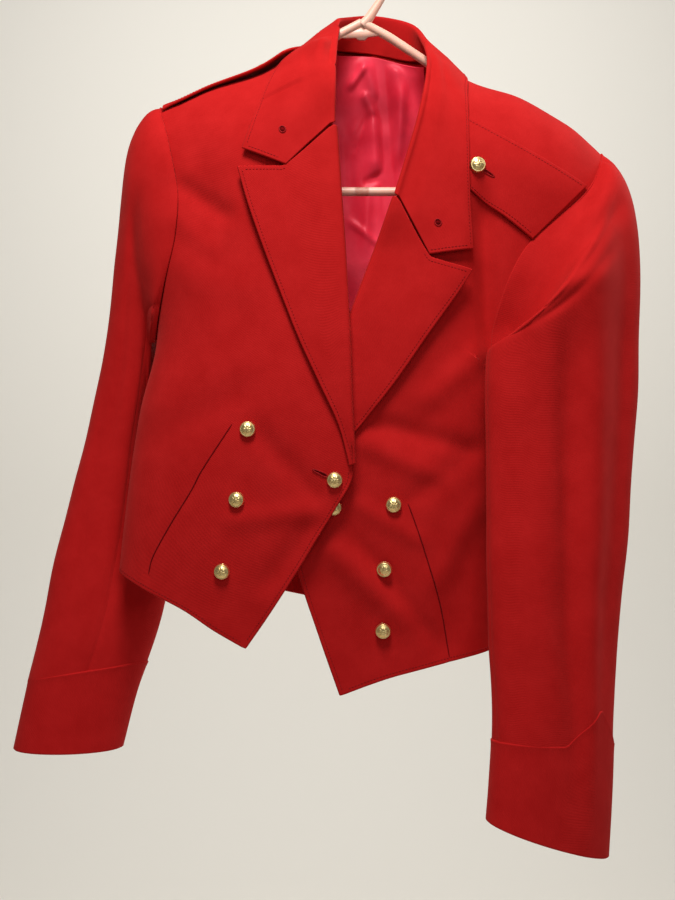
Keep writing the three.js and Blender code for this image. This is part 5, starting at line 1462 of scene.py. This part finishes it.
@dataclass
class Buttons:
    """Domed gilt buttons with a corded rim and a plain rosette, and the link between two of them."""

    finishes: Finishes
    radius: float = 7.4
    height: float = 5.2
    on_cloth: float = CLOTH / 2 + 0.75
    petals: int = 8

    def button(self, name: str, place: Array, normal: Array, spin: float) -> bpy.types.Object:
        """One button: a dome whose height falls with the square of the radius, eight petals, a boss,
        a corded rim and a flat back."""
        rings, sides = 22, 64
        r = np.sin(np.linspace(0.02, np.pi / 2, rings))[:, None]
        turn = 2 * np.pi * np.arange(sides)[None] / sides
        dome = 1.3 + (self.height - 1.9) * (1 - r**2.4)
        petal = 0.42 * np.abs(np.cos(self.petals * turn / 2)) ** 0.6 * np.exp(-(((r - 0.42) / 0.17) ** 2))
        boss = 0.5 * np.exp(-((r / 0.16) ** 2))
        rim = (0.75 + 0.12 * np.sin(30 * turn)) * np.exp(-(((r - 0.88) / 0.07) ** 2))
        h = dome + petal + boss + rim - 1.2 * ease((r - 0.93) / 0.07)
        reach = r * self.radius + 0 * turn
        back_r = np.array([1.0, 0.8, 0.3])[:, None] * self.radius + 0 * turn
        back_h = np.array([0.15, 0.0, 0.0])[:, None] + 0 * turn
        reach, h = np.concatenate([reach, back_r]), np.concatenate([h, back_h])
        n = unit(np.asarray(normal, float))
        side = unit(np.cross(n, [0.0, 0.0, 1.0]) if abs(n[2]) < 0.9 else np.cross(n, [1.0, 0, 0]))
        other = np.cross(n, side)
        p = (place + n * h[..., None] + side * (reach * np.cos(turn + spin))[..., None]
             + other * (reach * np.sin(turn + spin))[..., None])
        quads = cells(rings + 3, sides, True)
        lids = np.stack([np.arange(sides)[::-1], np.arange(sides) + (rings + 2) * sides])
        obj = make_mesh(name, p.reshape(-1, 3), [quads[:, ::-1], lids[:, ::-1]])
        return dress(obj, "gilt", self.finishes.gilt)

    def on_front(self, name: str, x: float, z: float, face: Surface, lift: float, spin: float) -> Array:
        """A button on a front, lifted until the highest cloth under its rim is clear.

        Args:
            name: the CAD node that it stands for.
            x: place across.
            z: height.
            face: the front's surface.
            lift: distance of its back from that surface.
            spin: turn about its own axis.

        Returns:
            The middle of its back.
        """
        at = np.array([x]), np.array([z])
        n = outward(face, *at, -np.ones(1))[0]
        place = np.array([x, face(*at)[0], z])
        turn = 2 * np.pi * np.arange(12) / 12
        rim_x, rim_z = x + self.radius * np.cos(turn), z + self.radius * np.sin(turn)
        rise = max(0.0, float(((stack(rim_x, face(rim_x, rim_z), rim_z) - place) @ n).max()))
        back = place + n * (lift + rise)
        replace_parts(self.button(name + "_gilt", back, n, spin), name)
        return back

    def build(self) -> None:
        """Makes the ten buttons and the link."""
        right, left = ((-110, -456), (-120, -520), (-134, -586)), ((23, -525), (15.5, -584), (14, -642))
        for i, (x, z) in enumerate(right):
            self.on_front(f"button_right_{i + 1}", x, z, TORSO.front, self.on_cloth, 0.3 * i)
        for i, (x, z) in enumerate(left):
            lift = self.on_cloth + (0.5 if i == 2 else 0)
            self.on_front(f"button_left_{i + 1}", x, z, TORSO.left_front, lift, 0.2 + 0.4 * i)
        outer = self.on_front("link_button_outer", -31, -502, TORSO.front, self.on_cloth, 0.1)
        inner = self.on_front("link_button_inner", -31.5, -527.5, TORSO.left_front, self.on_cloth, 0.5)
        self.on_front("strap_button_left", 98.5, -216, TORSO.front, STRAP_LIFT + self.on_cloth, 0.2)
        x, y = -101.0, 3.0
        slope = float(TORSO.ridge(np.array(x + 5)) - TORSO.ridge(np.array(x - 5))) / 10
        top = float(TORSO.shoulder_top(np.array(x), np.array(y)))
        made = self.button("strap_button_right_gilt", np.array([x, y, top + 5.0 + self.on_cloth]),
                           np.array([-slope, 0, 1]), 0.4)
        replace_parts(made, "strap_button_right")
        t = np.linspace(0, 1, 21)[:, None]
        path = mix(outer + [0, 4.5, 0], inner + [0, -1.0, 0], t)
        made = tube("link_cord", [path], [np.full(21, 1.0)], 10)
        dress(made, "gilt", self.finishes.thread)


@dataclass
class Hanger:
    """The tubular plastic hanger: hook, arms, trouser bar and the web under the junction."""

    finishes: Finishes
    joint: tuple[float, float] = (-5, -63.1)
    bar_z: float = -226.0
    hook_radius: float = 19.0
    hook_tube: float = 3.6
    tube_radius: float = 4.3
    arm: tuple[tuple[float, float], ...] = ((0, 0), (25, -13), (56, -33.5), (75, -47), (100, -65),
                                            (150, -96), (186, -119))
    end_x: float = 203.0
    end_round: float = 22.0
    arm_steps: int = 180
    hook_steps: int = 120

    def smooth(self, points: Array, count: int) -> Array:
        """A path through points, with even steps along straight stretches between them, eased by
        three passes of a running mean."""
        run = run_of(points)
        path = sample(points, run, np.linspace(0, run[-1], count))
        for _ in range(3):
            path[1:-1] = (path[:-2] + path[1:-1] * 2 + path[2:]) / 4
        return path

    def build(self) -> None:
        """Makes the hanger as one piece of joined tubes and a web."""
        jx, jz = self.joint
        middle_x, middle_z = self.end_x - self.end_round, self.bar_z + self.end_round
        angle = np.array([0.55, 0.2, -0.15, -0.5, -0.8, -1]) * np.pi / 2
        turn = np.stack([middle_x + self.end_round * np.cos(angle),
                         middle_z + self.end_round * np.sin(angle)], 1)
        arm = np.array([(dx, jz + dz) for dx, dz in self.arm])
        half = np.concatenate([arm, turn, [[-12, self.bar_z]]])
        paths = [self.smooth(stack(jx + sign * half[:, 0], 0, half[:, 1]), self.arm_steps)
                 for sign in (1, -1)]
        reach = self.hook_radius + self.hook_tube
        turn = np.linspace(-0.12, 1.22, 50) * np.pi
        hook = np.concatenate([[[jx, 0, jz - 3], [jx + 6, 0, jz + 3], [jx + 17, 0, jz + 20]],
                               stack(reach * np.cos(turn), 0, reach * np.sin(turn) - self.hook_radius)])
        paths.append(self.smooth(hook, self.hook_steps))
        # The bar's two ends overlap, one a little thinner; the hook's tip is rounded and its foot wider
        bar = self.tube_radius * np.where(np.arange(self.arm_steps) > self.arm_steps - 3, 0.9, 1.0)
        tip = np.clip(np.linspace(0, 40, self.hook_steps)[::-1] + 0.55, 0, 1)
        foot = 1.3 * (1 - ease(np.linspace(0, 4, self.hook_steps)))
        radii = [bar, bar, self.hook_tube * tip + foot]
        obj = tube("hanger_plastic", paths, radii, 24)
        dress(obj, "pink_plastic", self.finishes.plastic)
        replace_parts(obj, "hanger")
        self.web(jx, jz)

    def web(self, jx: float, jz: float) -> None:
        """The flat web between the arms, with a small nub under its middle."""
        outline = np.array([(-25, -14.5), (-12, -6), (0, -2), (12, -6), (21, -11.5), (14, -13), (6, -14),
                            (3, -17), (-3, -17), (-6, -14.8), (-14, -15.2)], float)
        count = len(outline)
        layers = [stack(jx + outline[:, 0] * s, np.full(count, y), jz + outline[:, 1] * s - 10 * (1 - s))
                  for s, y in ((0.97, -1.9), (1, -1.4), (1, 1.4), (0.97, 1.9))]
        quads = cells(4, count, True)[:, ::-1]
        lids = np.stack([np.arange(count), np.arange(count)[::-1] + 3 * count])
        obj = make_mesh("hanger_web", np.concatenate(layers), [quads, lids])
        dress(obj, "pink_plastic", self.finishes.plastic)


@dataclass
class FrontSewing:
    """Darts, the front edges' topstitching and the link's buttonhole."""

    finishes: Finishes
    needle: Needlework
    panels: BodyPanels

    def build(self) -> None:
        """Makes the sewing of both fronts."""
        welts = []
        for side, at in DARTS.items():
            z = np.linspace(at.rows[0][0], at.rows[-1][0], 90)
            welts.append(on_front(side, at(z), z, DART_DIP + CLOTH / 2))
        # Thin strips along the darts, dark with painted shade in their dips
        self.needle.welt("dart_seam_shade", welts, 0.5)
        backs = [self.panels.grids[f"back_{side.value}"] for side in Side]
        seams = [grid.line(border, 0.0, 4, 4) for grid in backs for border in (Border.FIRST, Border.LAST)]
        # Thin strips along the back seams, dark with painted shade in their dips
        self.needle.welt("back_seam_shade", seams, CLOTH / 2 - 0.1, 0.45)
        lines = []
        for side in Side:
            grid = self.panels.grids[f"front_{side.value}"]
            edge = Border.FIRST if abs(grid.points[-1, 0, 2] - HALVES[side].edge_end_z) < 2 else Border.LAST
            lines.append(grid.line(edge, FRONT_STITCH, 440 if side is Side.RIGHT else 425, 4))
            lines.append(grid.line(Border.BOTTOM, FRONT_STITCH, 4, 4))
        self.needle.topstitch("topstitch_fronts", lines, CLOTH / 2)
        point, normal = on_front(Side.RIGHT, np.array([-44.0]), np.array([-495.5]), CLOTH / 2)
        self.needle.hole("link_hole", point[0], normal[0], np.array([0.9, 0, -0.42]), 15, 2.4, 4.0)


@dataclass
class Studio:
    """Camera, soft lights and the pale floor with its backdrop."""

    camera_at: tuple[float, float, float] = (-0.0284, -1.310, -0.475)
    focal_px: float = 1358.7
    frame_px: tuple[int, int] = (675, 900)
    sensor: float = 36.0
    floor_z: float = -1.9

    def camera(self) -> None:
        """The photograph's camera, level and square to the wall."""
        data = bpy.data.cameras.new("camera")
        data.sensor_fit = "VERTICAL"
        data.sensor_height = self.sensor
        data.lens = self.focal_px / self.frame_px[1] * self.sensor
        camera = bpy.data.objects.new("camera", data)
        camera.location = self.camera_at
        camera.rotation_euler = (np.pi / 2, 0, 0)
        bpy.context.scene.collection.objects.link(camera)
        bpy.context.scene.camera = camera

    def light(self, name: str, at: tuple[float, float, float], size: float, watts: float,
              colour: tuple[float, float, float], target: tuple[float, float, float]) -> None:
        """A square area light at a place, aimed at a target."""
        data = bpy.data.lights.new(name, "AREA")
        data.size = size
        data.energy = watts
        data.color = colour
        lamp = bpy.data.objects.new(name, data)
        lamp.location = at
        aim = Vector(target) - Vector(at)
        lamp.rotation_euler = aim.to_track_quat("-Z", "Y").to_euler()
        bpy.context.scene.collection.objects.link(lamp)

    def backdrop(self) -> None:
        """A floor that curves up into a backdrop well behind the jacket."""
        x = np.linspace(-5000, 5000, 3)[None]
        turn = np.linspace(0, np.pi / 2, 13)
        y = np.concatenate([[-6000, 0], 3000 + 1200 * np.sin(turn), [4200]])[:, None]
        floor = self.floor_z / MM
        z = np.concatenate([[floor, floor], floor + 1200 * (1 - np.cos(turn)), [6000]])[:, None]
        p = stack(x, y, z)
        mesh = bpy.data.meshes.new("floor")
        quads = cells(len(y), 3, False)
        mesh.from_pydata((p.reshape(-1, 3) * MM).tolist(), [], quads.tolist())
        mesh.polygons.foreach_set("use_smooth", np.ones(len(quads), bool))
        obj = bpy.data.objects.new("floor", mesh)
        bpy.context.scene.collection.objects.link(obj)
        paper = Recipe("pale_paper", Roughness=0.9, Specular_IOR_Level=0.2,
                       Base_Color=(0.80, 0.775, 0.72, 1))
        mesh.materials.append(paper.material)

    def build(self) -> None:
        """Sets the camera, lights, floor and the soft light of the room."""
        self.camera()
        self.backdrop()
        warm, cool = (1.0, 0.98, 0.95), (0.96, 0.98, 1.0)
        self.light("key", (-0.12, -0.78, 0.86), 0.42, 22, warm, (-0.05, 0.0, -0.35))
        self.light("fill", (0.2, -2.2, 0.3), 1.2, 7, cool, (0.0, 0.0, -0.4))
        self.light("back_light", (1.3, 0.5, 0.5), 0.9, 12, warm, (0.0, 0.0, -0.4))
        self.light("backdrop_light", (0.0, 1.6, 1.2), 3.0, 86, warm, (0.0, 4.2, -0.6))
        world = bpy.data.worlds.new("room")
        world.use_nodes = True
        background = world.node_tree.nodes["Background"]
        background.inputs["Color"].default_value = (0.92, 0.90, 0.87, 1)
        background.inputs["Strength"].default_value = 0.16
        bpy.context.scene.world = world
        bpy.context.scene.view_settings.view_transform = "Standard"


def main() -> None:
    """Builds the jacket, its hanger and the studio."""
    logging.basicConfig(level=logging.INFO, format="%(name)s: %(message)s")
    Studio().build()
    finishes = Finishes()
    needle = Needlework(finishes)
    panels = BodyPanels(finishes)
    panels.build()
    Sleeves(finishes).build()
    Neckline(finishes, needle).build()
    Straps(finishes, needle).build()
    BackLining(finishes).build()
    Buttons(finishes).build()
    FrontSewing(finishes, needle, panels).build()
    Hanger(finishes).build()


if __name__ == "__main__":
    main()
